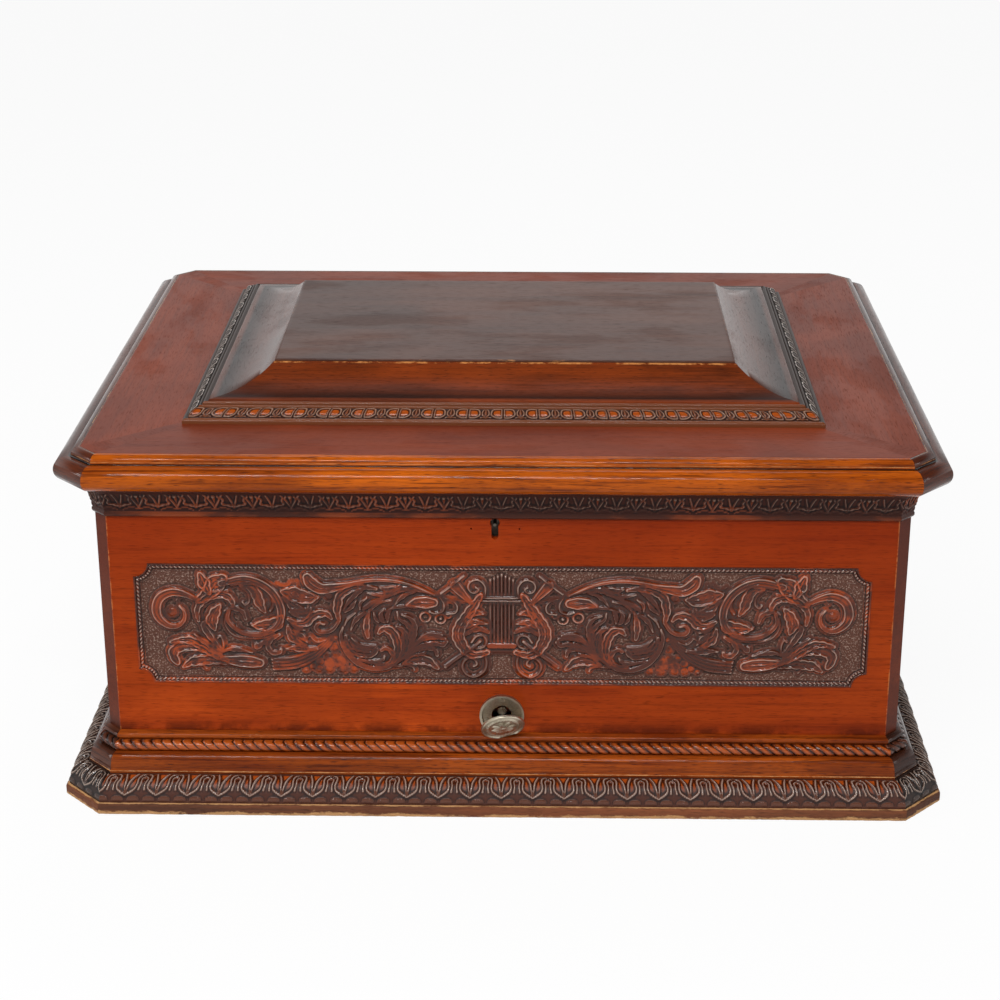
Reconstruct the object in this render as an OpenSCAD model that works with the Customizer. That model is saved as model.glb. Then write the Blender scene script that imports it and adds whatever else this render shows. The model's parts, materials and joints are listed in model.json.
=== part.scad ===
// Table music box for punched steel tune discs, in a mahogany case with a raised lid.
// Units are millimetres. The origin is on the surface that the box stands on, under the
// middle of the case. The front faces -Y and the box stands along +Z.

/* [Case] */
// Width of the case body
body_w = 664; // [656:2:680]
// Depth of the case body, front to back
body_d = 506; // [500:2:520]
// Leg of the cut across each upright corner of the body
body_cut = 11; // [8:1:14]
// Thickness of the case walls
wall_t = 15; // [13:1:17]
// Thickness of the plinth board
plinth_t = 10; // [8:1:12]
// How far the plinth board stands out from the body
plinth_out = 38; // [36:1:42]
// Height of the ledge at the foot of the plain walls
ledge_z = 60; // [59:0.5:61]
// Height at which the lid meets the case
rim_z = 284.5; // [282:0.5:288]

/* [Lid] */
// How far the lid's half round edge stands out from the body
lid_out = 29; // [27:1:30]
// Diameter of the lid's half round edge
nosing_d = 21; // [18:1:22]
// Height of the lid's flat top
lid_top_z = 312; // [310:0.5:314]
// Width of the carved strip round the raised part, outside to outside
strip_w = 532; // [520:2:540]
// Depth of the carved strip round the raised part
strip_d = 377; // [370:1:384]
// Width of the flat on top of the raised part
crown_w = 392; // [380:2:400]
// Depth of the flat on top of the raised part
crown_d = 237; // [230:1:242]
// Overall height
crown_z = 346; // [344:0.5:350]
// The raised part sits this far forward of the lid's middle
crown_forward = 4; // [0:1:6]
// Angle at which the open lid stops
lid_open = 95; // [90:1:98]

/* [Front] */
// Width of the carved panel
panel_w = 604; // [590:2:612]
// Height of the carved panel
panel_h = 108; // [100:1:112]
// Height of the middle of the carved panel
panel_z = 159; // [156:0.5:162]
// Distance of the keyhole from the middle, to the left
key_left = 5.5; // [0:0.5:10]
// Height of the keyhole's middle
key_z = 245.5; // [243:0.5:248]
// Height of the winding hole
winding_z = 77; // [76:0.5:78]
// Radius of the round plate over the winding hole
cover_r = 18.6; // [17:0.2:20]
// Tilt of the cover's hinge
cover_tilt = 17; // [14:1:19]
// How far the cover stands ajar
cover_ajar = 35; // [25:1:40]

/* [Movement] */
// Diameter of the tune disc
disc_d = 438; // [436:1:440]
// Thickness of the tune disc
disc_t = 1; // [0.8:0.1:1.2]
// Radius of the row of drive holes near the disc's edge
drive_hole_r = 211; // [210:0.5:211.5]
// Number of drive holes
drive_holes = 72; // [72:1:72]
// Teeth of the sprocket that drives the disc
sprocket_teeth = 16; // [16:1:16]
// Number of star wheels, and of teeth on each comb
notes = 40; // [32:4:40]
// Distance from one star wheel to the next
note_pitch = 3.4; // [3.2:0.05:3.4]
// Tip radius of a star wheel
star_r = 7; // [6.5:0.1:7]
// Gear module of the great wheel and the pinions on it
great_module = 1.25; // [1.25:0.05:1.25]
// Teeth of the great wheel
great_teeth = 80; // [80:1:80]
// Teeth of the pinion that turns the sprocket
drive_pinion_teeth = 20; // [20:1:20]
// Teeth of the first pinion of the governor
first_pinion_teeth = 16; // [16:1:16]
// Teeth of the governor's first wheel
first_teeth = 60; // [60:1:60]
// Teeth of the governor's second pinion
second_pinion_teeth = 12; // [12:1:12]
// Teeth of the wheel that drives the endless screw
worm_wheel_teeth = 32; // [32:1:32]

/* [Hidden] */

$fn = 64;
grow = 2 - sqrt(2);
body_hw = body_w / 2;
body_hd = body_d / 2;
front_y = -body_hd;
inside_x = body_hw - wall_t;
inside_y = body_hd - wall_t;

// Height of each course of the base, from the plinth board up to the ledge
leaf_top_z = 28.5;
band_top_z = 44;
rope_top_z = 52.6;
// Foot of the frieze under the lid
frieze_z = 255;
frieze_out = 14;

// Lid
nosing_r = nosing_d / 2;
nosing_o = lid_out - nosing_r;
nosing_z = rim_z + nosing_r;
lid_well_w = 470;
lid_well_d = 318;
foot_z = 327;
foot_in = 19.5;
strip_z = 319;
crown_y = -crown_forward;
crown_board_t = 9;

// Hinges of the lid
hinge_y = body_hd + 19;
hinge_z = rim_z;
hinge_x = 215;
hinge_w = 70;
knuckle_r = 4.5;
hinge_pin_r = 2;
knuckles = 5;
leaf_t = 2.5;
leaf_depth = 26;

// Sliding stay: the pivot on the lid and the swivel guide on the case are both stay_a from
// the hinge line, so the rod turns by half the lid's angle and always runs through the guide.
stay_a = 150;
stay_x = 304;
stay_pivot_angle = -2.5;
stay_guide_angle = -14;
stay_r = 2.5;
function on_stay_circle(angle) =
  [stay_x, hinge_y - stay_a * cos(angle), hinge_z + stay_a * sin(angle)];
stay_pivot = on_stay_circle(stay_pivot_angle);
stay_guide_at = on_stay_circle(stay_guide_angle);
stay_lean = (stay_pivot_angle + stay_guide_angle) / 2;
stay_span = 2 * stay_a * sin((lid_open + stay_pivot_angle - stay_guide_angle) / 2);
stay_length = stay_span + 12;

// Running clearance of a shaft in its hole
run = 0.06;

// Heights and places of the movement
disc_r = disc_d / 2;
arbor_z = winding_z;
great_r = great_module * great_teeth / 2;
drive_z = arbor_z + great_r + great_module * drive_pinion_teeth / 2;
sprocket_r = drive_hole_r * sprocket_teeth / drive_holes;
disc_z = drive_z + sprocket_r - disc_t / 2;
star_gap = 0.4;
star_z = disc_z - star_gap - star_r;
bed_z = 154;
bed_t = 6;
bed_top = bed_z + bed_t;
stars_x = -205;
comb_z = star_z - 1;
comb_t = 2;
star_t = 1;
shaft_r = 1.5;
spindle_r = 4;

// Planes of the motor, as distances along Y
front_plate_y = -224;
rear_plate_y = -141;
plate_t = 4;
sprocket_y = -drive_hole_r;
sprocket_t = 4;
barrel_y = -204;
barrel_len = 44;
barrel_r = 44;
great_y = -158;
great_t = 5;
first_wheel_y = -150;
first_t = 3;
worm_wheel_y = -168;
worm_wheel_t = 2;
pivot_r = 2.5;
arbor_r = 4;
// Round end that a winding crank fits over
winding_end_r = 3.6;
winding_end = 16;

// Governor train, laid out from the winding arbor
first_module = 1;
first_angle = 20;
first_distance = great_r + great_module * first_pinion_teeth / 2;
first_at = [first_distance * cos(first_angle), arbor_z + first_distance * sin(first_angle)];
second_angle = -30;
second_distance = first_module * (first_teeth + second_pinion_teeth) / 2;
second_at = first_at + second_distance * [cos(second_angle), sin(second_angle)];
worm_wheel_r = first_module * worm_wheel_teeth / 2;
worm_r = 4;
worm_starts = 2;
worm_lead = worm_starts * PI * first_module;
worm_x = second_at[0] + worm_wheel_r + worm_r;
worm_yc = worm_wheel_y + worm_wheel_t / 2;
worm_len = 22;
fly_z = second_at[1] + 34;

// Pressure arm
arm_x = -236;
arm_z = disc_z + disc_t + 10;
arm_t = 5;
roller_r = 4;
roller_z = disc_z + disc_t + 0.3 + roller_r;

mahogany = [0.42, 0.17, 0.08];
carved = [0.27, 0.12, 0.07];
old_nickel = [0.55, 0.52, 0.44];
brass = [0.72, 0.58, 0.28];
steel = [0.62, 0.63, 0.65];
iron = [0.16, 0.20, 0.19];
gilt = [0.66, 0.52, 0.27];
blued = [0.17, 0.19, 0.27];
inside_wood = [0.50, 0.28, 0.14];

// Involute gear outline
gear_pressure = 20;
gear_slack = 0.1;
great_phase = 90;
drive_phase = mesh_phase(great_teeth, great_phase, 90, drive_pinion_teeth);
first_phase = mesh_phase(great_teeth, great_phase, first_angle, first_pinion_teeth);
second_phase = mesh_phase(first_teeth, 0, second_angle, second_pinion_teeth);
panel_deep = 4;
notch_r = 12;
lock_let = 9;
lock_t = 13;
lock_w = 64;
lock_h = 54;
lock_y = -inside_y - lock_let;
loop_x = 15;
loop_w = 9;
loop_t = 4;
loop_h = 11;
bolt_t = 3;
bolt_h = 4;
bolt_z = rim_z - 8;
bar_h = 3;
bar_z = rim_z - loop_h - 5;
bolt_slack = 0.4;
plate_t2 = 1.2;
rim_out = 3.4;
flap_r = cover_r - 0.3;
flap_t = 1.4;
flap_back = 0.6;
flap_pin_r = 0.9;
flap_lug = 1.5;
flap_chord = 0.8;
flap_hinge_y = front_y - 4.6;
flap_foot = cover_r - 2.4;
lug_reach = front_y - flap_hinge_y;
lug_in = 3.4;
lug_w = 2.6;
flap_hinge_at = [flap_foot * sin(cover_tilt), winding_z - flap_foot * cos(cover_tilt)];
strip_hw = strip_w / 2;
strip_hd = strip_d / 2;
bed_pillar_at = [[-246, -88], [-246, 88], [46, 88], [-84, -214], [134, -214]];
bed_screw_r = 3;
motor_pillar_at = [[-58, 106], [-54, 40], [62, 42], [72, 142]];
motor_stud_r = 2.5;
arbor_front_y = front_y + 6;
ratchet_y = -231;
ratchet_t = 4;
ratchet_teeth = 24;
ratchet_r = 14;
ratchet_deep = 2.6;
click_at = [-22, 93];
click_t = 3;
click_boss = 5.5;
worm_wheel_phase = 0;
// Endless screw: two threads wound on a slim core, with the fly on the same shaft
worm_steps = 44;
lever_at = [112, -192];
lever_finger = 14;
lever_finger_angle = 55;
lever_handle_angle = -22;
lever_handle = 66;
slots_per_track = 5;
slot_l = 4.4;
slot_w = 1.7;
arm_lugs = [-209, -133, -62];
arm_knob_x = -26;
comb_ends = 7;
comb_tip = star_r + star_gap;
comb_back = 102;
bass_len = 64;
treble_len = 32;
comb_cut = 0.9;
comb_holes = 5;
bridge_w = 5;
bridge_lugs = 5;
star_points = 8;
damper_y = 12;
worm_phase = 0;

// Points on an arc, from angle a0 to a1 in n steps, with its own height radius for an ellipse
function arc(cx, cz, rx, rz, a0, a1, n) =
  [for (i = [0:n]) let (a = a0 + (a1 - a0) * i / n) [cx + rx * cos(a), cz + rz * sin(a)]];

// Corners of a rectangle, or of one with its corners cut, counted anticlockwise from above
function corners(hw, hd, cut) = cut > 0
  ? [[hw - cut, -hd], [hw, cut - hd], [hw, hd - cut], [hw - cut, hd],
     [cut - hw, hd], [-hw, hd - cut], [-hw, cut - hd], [cut - hw, -hd]]
  : [[hw, -hd], [hw, hd], [-hw, hd], [-hw, -hd]];

// One level of a moulding: the outline moved out by p[0], at height p[1]
function level(p, hw, hd, cut, cy) =
  [for (v = corners(hw + p[0], hd + p[0], cut > 0 ? cut + p[0] * grow : 0))
    [v[0], v[1] + cy, p[1]]];

// Mitred moulding: a closed profile of [distance out, height] points carried round an outline
module moulding(profile, hw = body_hw, hd = body_hd, cut = body_cut, cy = 0) {
  n = len(profile);
  k = cut > 0 ? 8 : 4;
  points = [for (p = profile) each level(p, hw, hd, cut, cy)];
  faces = [for (i = [0:n - 1]) for (j = [0:k - 1])
    [i * k + j, ((i + 1) % n) * k + j, ((i + 1) % n) * k + (j + 1) % k, i * k + (j + 1) % k]];
  polyhedron(points, faces);
}

// Moulded slab: an open profile from the underside to the top, closed above and below
module moulded_slab(profile, hw = body_hw, hd = body_hd, cut = body_cut, cy = 0) {
  n = len(profile);
  k = cut > 0 ? 8 : 4;
  points = [for (p = profile) each level(p, hw, hd, cut, cy)];
  sides = [for (i = [0:n - 2]) for (j = [0:k - 1])
    [i * k + j, (i + 1) * k + j, (i + 1) * k + (j + 1) % k, i * k + (j + 1) % k]];
  foot = [for (j = [0:k - 1]) j];
  top = [for (j = [k - 1:-1:0]) (n - 1) * k + j];
  polyhedron(points, concat(sides, [foot], [top]));
}

// Cylinder along Y from y0, centred at x and z
module rod_y(x, z, y0, length, r) {
  translate([x, y0, z]) rotate([-90, 0, 0]) cylinder(h = length, r = r);
}

// Cylinder along X from x0, centred at y and z
module rod_x(x0, y, z, length, r) {
  translate([x0, y, z]) rotate([0, 90, 0]) cylinder(h = length, r = r);
}

// Upright cylinder that stands at p
module post(p, z, height, r) {
  translate([p[0], p[1], z]) cylinder(h = height, r = r);
}

// Rectangle with round corners, centred
module round_rect(w, h, r) {
  square([w - 2 * r, h], center = true);
  square([w, h - 2 * r], center = true);
  for (x = [-1, 1]) {
    for (y = [-1, 1]) {
      translate([x * (w / 2 - r), y * (h / 2 - r)]) circle(r = r);
    }
  }
}

// Slotted cheese head screw with its shank, head up, with the seat at the origin
module slotted_screw(head_r, head_h, shank_r, shank_len) {
  difference() {
    cylinder(h = head_h, r = head_r);
    translate([-head_r - 1, -head_r / 8, head_h * 0.5]) cube([2 * head_r + 2, head_r / 4, head_h]);
  }
  translate([0, 0, -shank_len]) cylinder(h = shank_len, r = shank_r);
}

function involute_deg(radius, base) =
  radius <= base ? 0 : let (t = sqrt(pow(radius / base, 2) - 1)) t * 180 / PI - atan(t);
function gear_outline(teeth, m, phase = 0, tip = 0.8, root = 1.15) =
  let (
    pitch_r = teeth * m / 2,
    base = pitch_r * cos(gear_pressure),
    rims = [pitch_r - root * m, max(base, pitch_r - 0.6 * m), pitch_r, pitch_r + tip * m],
    slack = gear_slack / pitch_r * 90 / PI,
    half = [for (r = rims) 90 / teeth - slack + involute_deg(pitch_r, base) - involute_deg(r, base)]
  )
  [for (i = [0:teeth - 1]) let (mid = phase + i * 360 / teeth)
    each concat(
      [for (j = [0:3]) rims[j] * [cos(mid - half[j]), sin(mid - half[j])]],
      [for (j = [3:-1:0]) rims[j] * [cos(mid + half[j]), sin(mid + half[j])]])];

// Phase that puts a gear in mesh with another one, which stands at its own phase, in direction angle
function mesh_phase(teeth, phase, angle, mate_teeth) =
  angle + 180 + 180 / mate_teeth + (angle - phase) * teeth / mate_teeth;

// Gear between y0 and y0 + t, centred at x and z, with a bore
module gear_y(x, z, y0, t, teeth, m, phase, bore) {
  translate([x, y0 + t, z]) rotate([90, 0, 0]) {
    linear_extrude(height = t) {
      difference() {
        polygon(gear_outline(teeth, m, phase));
        circle(r = bore);
      }
    }
  }
}

// Case

module plinth_board() {
  color(carved) moulded_slab([[plinth_out - 0.8, 0], [plinth_out, 1], [plinth_out, plinth_t - 1],
    [plinth_out - 0.8, plinth_t]]);
}

module leaf_moulding() {
  color(carved) moulding(concat(
    [[0, plinth_t], [35, plinth_t], [35, 12]],
    arc(20, 12, 14.5, 15.5, 0, 90, 7),
    [[18.5, 27.5], [18.5, leaf_top_z], [0, leaf_top_z]]));
}

module base_bands() {
  color(mahogany) {
    moulding(concat(
      [[0, leaf_top_z], [18, leaf_top_z], [18, leaf_top_z + 2.5]],
      arc(10.5, leaf_top_z + 2.5, 6.7, band_top_z - leaf_top_z - 2.5, 0, 90, 7),
      [[0, band_top_z]]));
    moulding(concat(
      [[0, rope_top_z], [3.2, rope_top_z], [3.2, 54]],
      arc(3.2, 56.4, 2.2, 2.4, -90, 90, 6),
      [[1.4, ledge_z], [0, ledge_z]]));
  }
}

module rope_moulding() {
  rope_r = (rope_top_z - band_top_z) / 2;
  color(carved) moulding(concat(
    [[0, band_top_z]],
    arc(5.7, band_top_z + rope_r, rope_r, rope_r, -90, 90, 8),
    [[0, rope_top_z]]));
}

// Keyhole: a round top and a round ended slot below it
module keyhole(y0, length, extra = 0) {
  rod_y(-key_left, key_z + 5, y0, length, 4 + extra);
  rod_y(-key_left, key_z - 6.5, y0, length, 2.8 + extra);
  translate([-key_left - 2.8 - extra, y0, key_z - 6.5]) cube([5.6 + 2 * extra, length, 12]);
}

// Outline of the panel, with a hollow quarter round cut from each corner
module panel_outline(w, h, notch) {
  difference() {
    square([w, h], center = true);
    for (x = [-1, 1]) {
      for (y = [-1, 1]) {
        translate([x * w / 2, y * h / 2]) circle(r = notch);
      }
    }
  }
}

module front_wall() {
  color(mahogany) difference() {
    translate([0, 0, plinth_t]) linear_extrude(height = rim_z - plinth_t) {
      polygon([[-body_hw, -inside_y], [-body_hw, front_y + body_cut], [body_cut - body_hw, front_y],
        [body_hw - body_cut, front_y], [body_hw, front_y + body_cut], [body_hw, -inside_y]]);
    }
    translate([0, front_y + panel_deep, panel_z]) rotate([90, 0, 0]) {
      linear_extrude(height = panel_deep + 1) panel_outline(panel_w, panel_h, notch_r);
    }
    keyhole(front_y - 1, wall_t + 2);
    rod_y(0, winding_z, front_y - 1, wall_t + 2, 12);
    for (x = [-19.2, 20]) {
      rod_y(x - key_left, key_z, front_y - 1, 5, 0.8);
    }
    translate([-key_left - 32, -inside_y - lock_let, rim_z - 54]) cube([64, lock_let + 1, 60]);
  }
}

// Lock, let into the back of the front wall, open above for the loops of the link plate
module lock_case() {
  color(brass) {
    difference() {
      translate([-key_left - lock_w / 2, lock_y, rim_z - lock_h]) cube([lock_w, lock_t, lock_h]);
      for (s = [-1, 1]) {
        translate([-key_left + s * loop_x - loop_w / 2 - 1, lock_y + lock_t / 2 - loop_t / 2 - 0.8,
          rim_z - loop_h - 2.5]) {
          cube([loop_w + 2, loop_t + 1.6, loop_h + 4]);
        }
      }
      translate([-key_left - lock_w / 2 + 1.8, lock_y + lock_t / 2 - bolt_t / 2 - bolt_slack,
        bar_z - bolt_slack]) {
        cube([lock_w - 3.6, bolt_t + 2 * bolt_slack, bolt_z + bolt_h / 2 - bar_z + 2 * bolt_slack]);
      }
      keyhole(lock_y - 1, 6, 0.3);
    }
    rod_y(-key_left, key_z + 3, lock_y - 5, 10, 1.4);
  }
}

// Sliding bar with two hooked bolts, drawn clear of the loops at rest
module lock_bolt() {
  color(steel) for (s = [-1, 1]) {
    nose_x = -key_left + s * loop_x - loop_w / 2 - 1.2;
    translate([nose_x - 9, lock_y + lock_t / 2 - bolt_t / 2, bar_z]) {
      cube([3, bolt_t, bolt_z + bolt_h / 2 - bar_z]);
      translate([0, 0, bolt_z - bolt_h / 2 - bar_z]) cube([8.5, bolt_t, bolt_h]);
      cube([s < 0 ? 2 * loop_x + 3 : 3, bolt_t, bar_h]);
    }
  }
}

module back_wall() {
  color(mahogany) difference() {
    translate([0, 0, plinth_t]) linear_extrude(height = rim_z - plinth_t) {
      polygon([[-body_hw, inside_y], [body_hw, inside_y], [body_hw, body_hd - body_cut],
        [body_hw - body_cut, body_hd], [body_cut - body_hw, body_hd], [-body_hw, body_hd - body_cut]]);
    }
    hinge_mortises();
  }
}

module side_wall(side) {
  x0 = side < 0 ? -body_hw : inside_x;
  translate([x0, -inside_y, plinth_t]) cube([wall_t, 2 * inside_y, rim_z - plinth_t]);
}

module left_wall() {
  color(mahogany) side_wall(-1);
}

module right_wall() {
  color(mahogany) difference() {
    side_wall(1);
    rod_x(inside_x - 1, stay_guide_at[1], stay_guide_at[2], 6, stay_r);
  }
}

// Carved panel: a dark ground with a raised lip and a fine cord border inside it
module carved_panel() {
  lip = 3;
  color(carved) translate([0, front_y + panel_deep, panel_z]) rotate([90, 0, 0]) {
    linear_extrude(height = panel_deep - 1.2) panel_outline(panel_w, panel_h, notch_r);
    linear_extrude(height = panel_deep + 0.8) {
      difference() {
        panel_outline(panel_w, panel_h, notch_r);
        panel_outline(panel_w - 2 * lip, panel_h - 2 * lip, notch_r);
      }
    }
    linear_extrude(height = panel_deep + 0.2) {
      difference() {
        panel_outline(panel_w - 2 * lip - 3, panel_h - 2 * lip - 3, notch_r);
        panel_outline(panel_w - 4 * lip - 3, panel_h - 4 * lip - 3, notch_r);
      }
    }
  }
}

module frieze_moulding() {
  color(carved) difference() {
    moulding(concat(
      [[0, frieze_z], [1.6, frieze_z], [2.4, 256.4], [2.4, 258.2], [1.6, 259.4]],
      arc(12.5, 260, 10.5, 20, 180, 100, 7),
      [[frieze_out, 281], [frieze_out, rim_z], [0, rim_z]]));
    hinge_mortises();
  }
}

// Hinges

module hinge_mortises() {
  for (s = [-1, 1]) {
    translate([s * hinge_x - hinge_w / 2, hinge_y - leaf_depth, rim_z - leaf_t]) {
      cube([hinge_w, leaf_depth, leaf_t + 1]);
    }
  }
}

module hinge_knuckles(first, bore) {
  step = hinge_w / knuckles;
  gap = first > 0 ? 0.2 : 0;
  for (s = [-1, 1]) {
    for (i = [first:2:knuckles - 1]) {
      difference() {
        rod_x(s * hinge_x - hinge_w / 2 + i * step + gap, hinge_y, hinge_z, step - 2 * gap, knuckle_r);
        rod_x(s * hinge_x - hinge_w / 2 + i * step - 1, hinge_y, hinge_z, step + 2, bore);
      }
    }
  }
}

// Leaves: z0 is the underside, and the slots round the other half's knuckles are cut out
module hinge_plates(z0, first) {
  step = hinge_w / knuckles;
  for (s = [-1, 1]) {
    difference() {
      translate([s * hinge_x - hinge_w / 2, hinge_y - leaf_depth, z0]) {
        cube([hinge_w, leaf_depth - hinge_pin_r - 1, leaf_t]);
      }
      for (i = [1 - first:2:knuckles - 1]) {
        rod_x(s * hinge_x - hinge_w / 2 + i * step - 0.2, hinge_y, hinge_z, step + 0.4,
          knuckle_r + 0.4);
      }
      rod_x(s * hinge_x - hinge_w, hinge_y, hinge_z, 2 * hinge_w, hinge_pin_r + 0.6);
    }
  }
}

module case_hinge_leaves() {
  color(brass) {
    hinge_plates(rim_z - leaf_t, 0);
    hinge_knuckles(0, hinge_pin_r - 0.5);
    for (s = [-1, 1]) {
      rod_x(s * hinge_x - hinge_w / 2, hinge_y, hinge_z, hinge_w, hinge_pin_r);
    }
  }
}

module lid_hinge_leaves() {
  color(brass) {
    hinge_plates(rim_z, 1);
    hinge_knuckles(1, hinge_pin_r + run);
  }
}

// Cover of the winding hole

// Puts children in the flap's own frame: hinge along X at the origin, plate along +Z, front to -Y
module flap_frame() {
  translate([flap_hinge_at[0], flap_hinge_y, flap_hinge_at[1]]) rotate([0, -cover_tilt, 0]) children();
}

// Round plate with a raised rim. Its foot is cut straight where it stands on the ledge.
module winding_plate() {
  color(old_nickel) {
    difference() {
      rod_y(0, winding_z, front_y - rim_out, rim_out, cover_r);
      rod_y(0, winding_z, front_y - rim_out - 1, rim_out + 1 - plate_t2, cover_r - 2);
      rod_y(0, winding_z, front_y - rim_out, rim_out + 1, 8.5);
      rod_y(0.2, winding_z + 13, front_y - rim_out, rim_out + 1, 1);
      flap_frame() rod_x(-12, 0, 0, 24, flap_lug + 0.5);
      translate([-cover_r, front_y - 5, ledge_z - 5]) cube([2 * cover_r, 6, 5]);
    }
    difference() {
      flap_frame() {
        for (x = [-lug_in - lug_w, lug_in]) {
          rod_x(x, 0, 0, lug_w, flap_lug);
          translate([x, 0, 0.4]) cube([lug_w, lug_reach, 2.6]);
        }
      }
      flap_frame() rod_x(-12, 0, 0, 24, flap_pin_r);
    }
  }
}

module flap_pin() {
  color(old_nickel) flap_frame() rod_x(-lug_in - lug_w - 0.2, 0, 0, 2 * (lug_in + lug_w + 0.2), flap_pin_r);
}

// Domed cover with a beaded edge, cut straight above its hinge
module winding_flap() {
  barrel_half = lug_in - 0.2;
  color(old_nickel) flap_frame() rotate([cover_ajar, 0, 0]) {
    difference() {
      union() {
        difference() {
          translate([0, -flap_t - flap_back, flap_foot]) rotate([90, 0, 0]) {
            translate([0, 0, -flap_t]) cylinder(h = flap_t, r = flap_r);
            rotate_extrude() {
              polygon(concat([[0, -0.2], [13, -0.2]], arc(0, 0, 13, 1.3, 0, 90, 6)));
            }
            rotate_extrude() translate([flap_r - 1.3, 0]) circle(r = 0.8, $fn = 16);
          }
          translate([-flap_r, -6, flap_chord - flap_r]) cube([2 * flap_r, 12, flap_r]);
        }
        rod_x(-barrel_half, 0, 0, 2 * barrel_half, flap_lug);
        translate([-barrel_half, -flap_back - flap_t, 0]) cube([2 * barrel_half, flap_t, 3]);
      }
      rod_x(-12, 0, 0, 24, flap_pin_r + run);
      for (x = [-lug_in - lug_w - 0.3, barrel_half]) {
        rod_x(x, 0, 0, lug_w + 0.5, flap_lug + 0.25);
      }
    }
  }
}

module plate_screw() {
  color(old_nickel) translate([0.2, front_y - plate_t2, winding_z + 13]) rotate([90, 0, 0]) {
    slotted_screw(2.4, 1, 1, 1.15);
  }
}

// Lid

module lid_frame() {
  color(mahogany) difference() {
    moulded_slab(concat(
      [[nosing_o, rim_z]],
      arc(nosing_o, nosing_z, nosing_r, nosing_r, -75, 75, 10),
      [[nosing_o - 1, rim_z + nosing_d - 0.4], [nosing_o - 3, rim_z + nosing_d - 0.6],
       [nosing_o - 3.4, rim_z + nosing_d + 1]],
      arc(nosing_o - 9.4, rim_z + nosing_d + 1, 6, lid_top_z - rim_z - nosing_d - 1, 15, 90, 5),
      [[nosing_o - 10.6, lid_top_z]]));
    translate([-lid_well_w / 2, crown_y - lid_well_d / 2, rim_z - 1]) {
      cube([lid_well_w, lid_well_d, 40]);
    }
    for (s = [-1, 1]) {
      translate([s * hinge_x - hinge_w / 2, hinge_y - leaf_depth, rim_z - 1]) {
        cube([hinge_w, leaf_depth, leaf_t + 1]);
      }
      rod_x(s * hinge_x - hinge_w / 2 - 0.3, hinge_y, hinge_z, hinge_w + 0.6, knuckle_r + 0.7);
    }
    translate([-key_left - lock_w / 2, lock_y, rim_z - 1]) cube([lock_w, lock_t, 2.5]);
  }
}

module lid_strip() {
  color(carved) moulding(concat(
    [[-foot_in, lid_top_z], [0, lid_top_z], [0, lid_top_z + 1]],
    arc(-2.4, lid_top_z + 3, 2.4, 2.2, -30, 120, 5),
    [[-5, lid_top_z + 3]],
    arc(-11, lid_top_z + 3, 5.6, 3.4, 10, 170, 7),
    [[-17, lid_top_z + 3], [-17, strip_z], [-foot_in, strip_z]]),
    strip_hw, strip_hd, 0, crown_y);
}

module lid_cavetto() {
  rise = crown_z - foot_z;
  color(mahogany) moulding(concat(
    [[-foot_in - 21, lid_top_z], [-foot_in, lid_top_z], [-foot_in, foot_z - 3]],
    arc(-foot_in - 1.5, foot_z - 1.8, 1.5, 1.5, 0, 90, 3),
    arc(-foot_in - 3, crown_z - 2, 46, rise - 1, 270, 195, 8),
    [[-(strip_w - crown_w) / 2, crown_z - 3], [-(strip_w - crown_w) / 2 - 1, crown_z - crown_board_t],
     [-(strip_w - crown_w) / 2 - 10, crown_z - crown_board_t],
     [-(strip_w - crown_w) / 2 - 10, crown_z - crown_board_t - 7],
     [-foot_in - 26, lid_top_z + 5]]),
    strip_hw, strip_hd, 0, crown_y);
}

module lid_crown_board() {
  color(mahogany) moulded_slab([[-1, crown_z - crown_board_t], [-1, crown_z - 3],
    [0, crown_z - 2.4], [0, crown_z - 0.8], [-0.8, crown_z]],
    crown_w / 2, crown_d / 2, 0, crown_y);
}

module lid_lining() {
  color(inside_wood) {
    translate([-lid_well_w / 2, crown_y - lid_well_d / 2, rim_z + 8]) {
      cube([lid_well_w, lid_well_d, 5]);
    }
    moulding([[-8, rim_z + 8], [-8, rim_z + 4], [-5, rim_z + 3], [-2, rim_z + 1], [0, rim_z + 1],
      [0, rim_z + 8]], lid_well_w / 2, lid_well_d / 2, 0, crown_y);
  }
}

module link_plate() {
  color(brass) {
    translate([-key_left - lock_w / 2 + 2, lock_y, rim_z]) cube([lock_w - 4, lock_t, 1.5]);
    for (s = [-1, 1]) {
      difference() {
        translate([-key_left + s * loop_x - loop_w / 2, lock_y + lock_t / 2 - loop_t / 2, rim_z - loop_h]) {
          cube([loop_w, loop_t, loop_h + 1]);
        }
        translate([-key_left + s * loop_x - loop_w / 2 - 1, lock_y, bolt_z - bolt_h / 2 - 0.6]) {
          cube([loop_w - 1, lock_t, bolt_h + 1.2]);
        }
      }
    }
  }
}

module stay_bracket() {
  color(brass) {
    translate([stay_x - 9, stay_pivot[1] - 9, rim_z - 1.5]) cube([18, 18, 1.5]);
    for (x = [-7, 4.5]) {
      rod_x(stay_x + x, stay_pivot[1], stay_pivot[2], 2.5, 4);
      translate([stay_x + x, stay_pivot[1] - 4, stay_pivot[2]]) {
        cube([2.5, 8, rim_z - 1 - stay_pivot[2]]);
      }
    }
    rod_x(stay_x - 8, stay_pivot[1], stay_pivot[2], 16, 2);
  }
}

// Puts children in the rod's own frame: pivot at the origin and the rod along -Z
module stay_frame() {
  translate(stay_pivot) rotate([-stay_lean, 0, 0]) children();
}

module stay_rod() {
  color(brass) stay_frame() {
    difference() {
      union() {
        rod_x(-4, 0, 0, 8, 4);
        translate([0, 0, -stay_length]) cylinder(h = stay_length, r = stay_r);
        translate([0, 0, -stay_length - 3]) cylinder(h = 6, r = 4);
      }
      rod_x(-5, 0, 0, 10, 2 + run);
    }
  }
}

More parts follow.
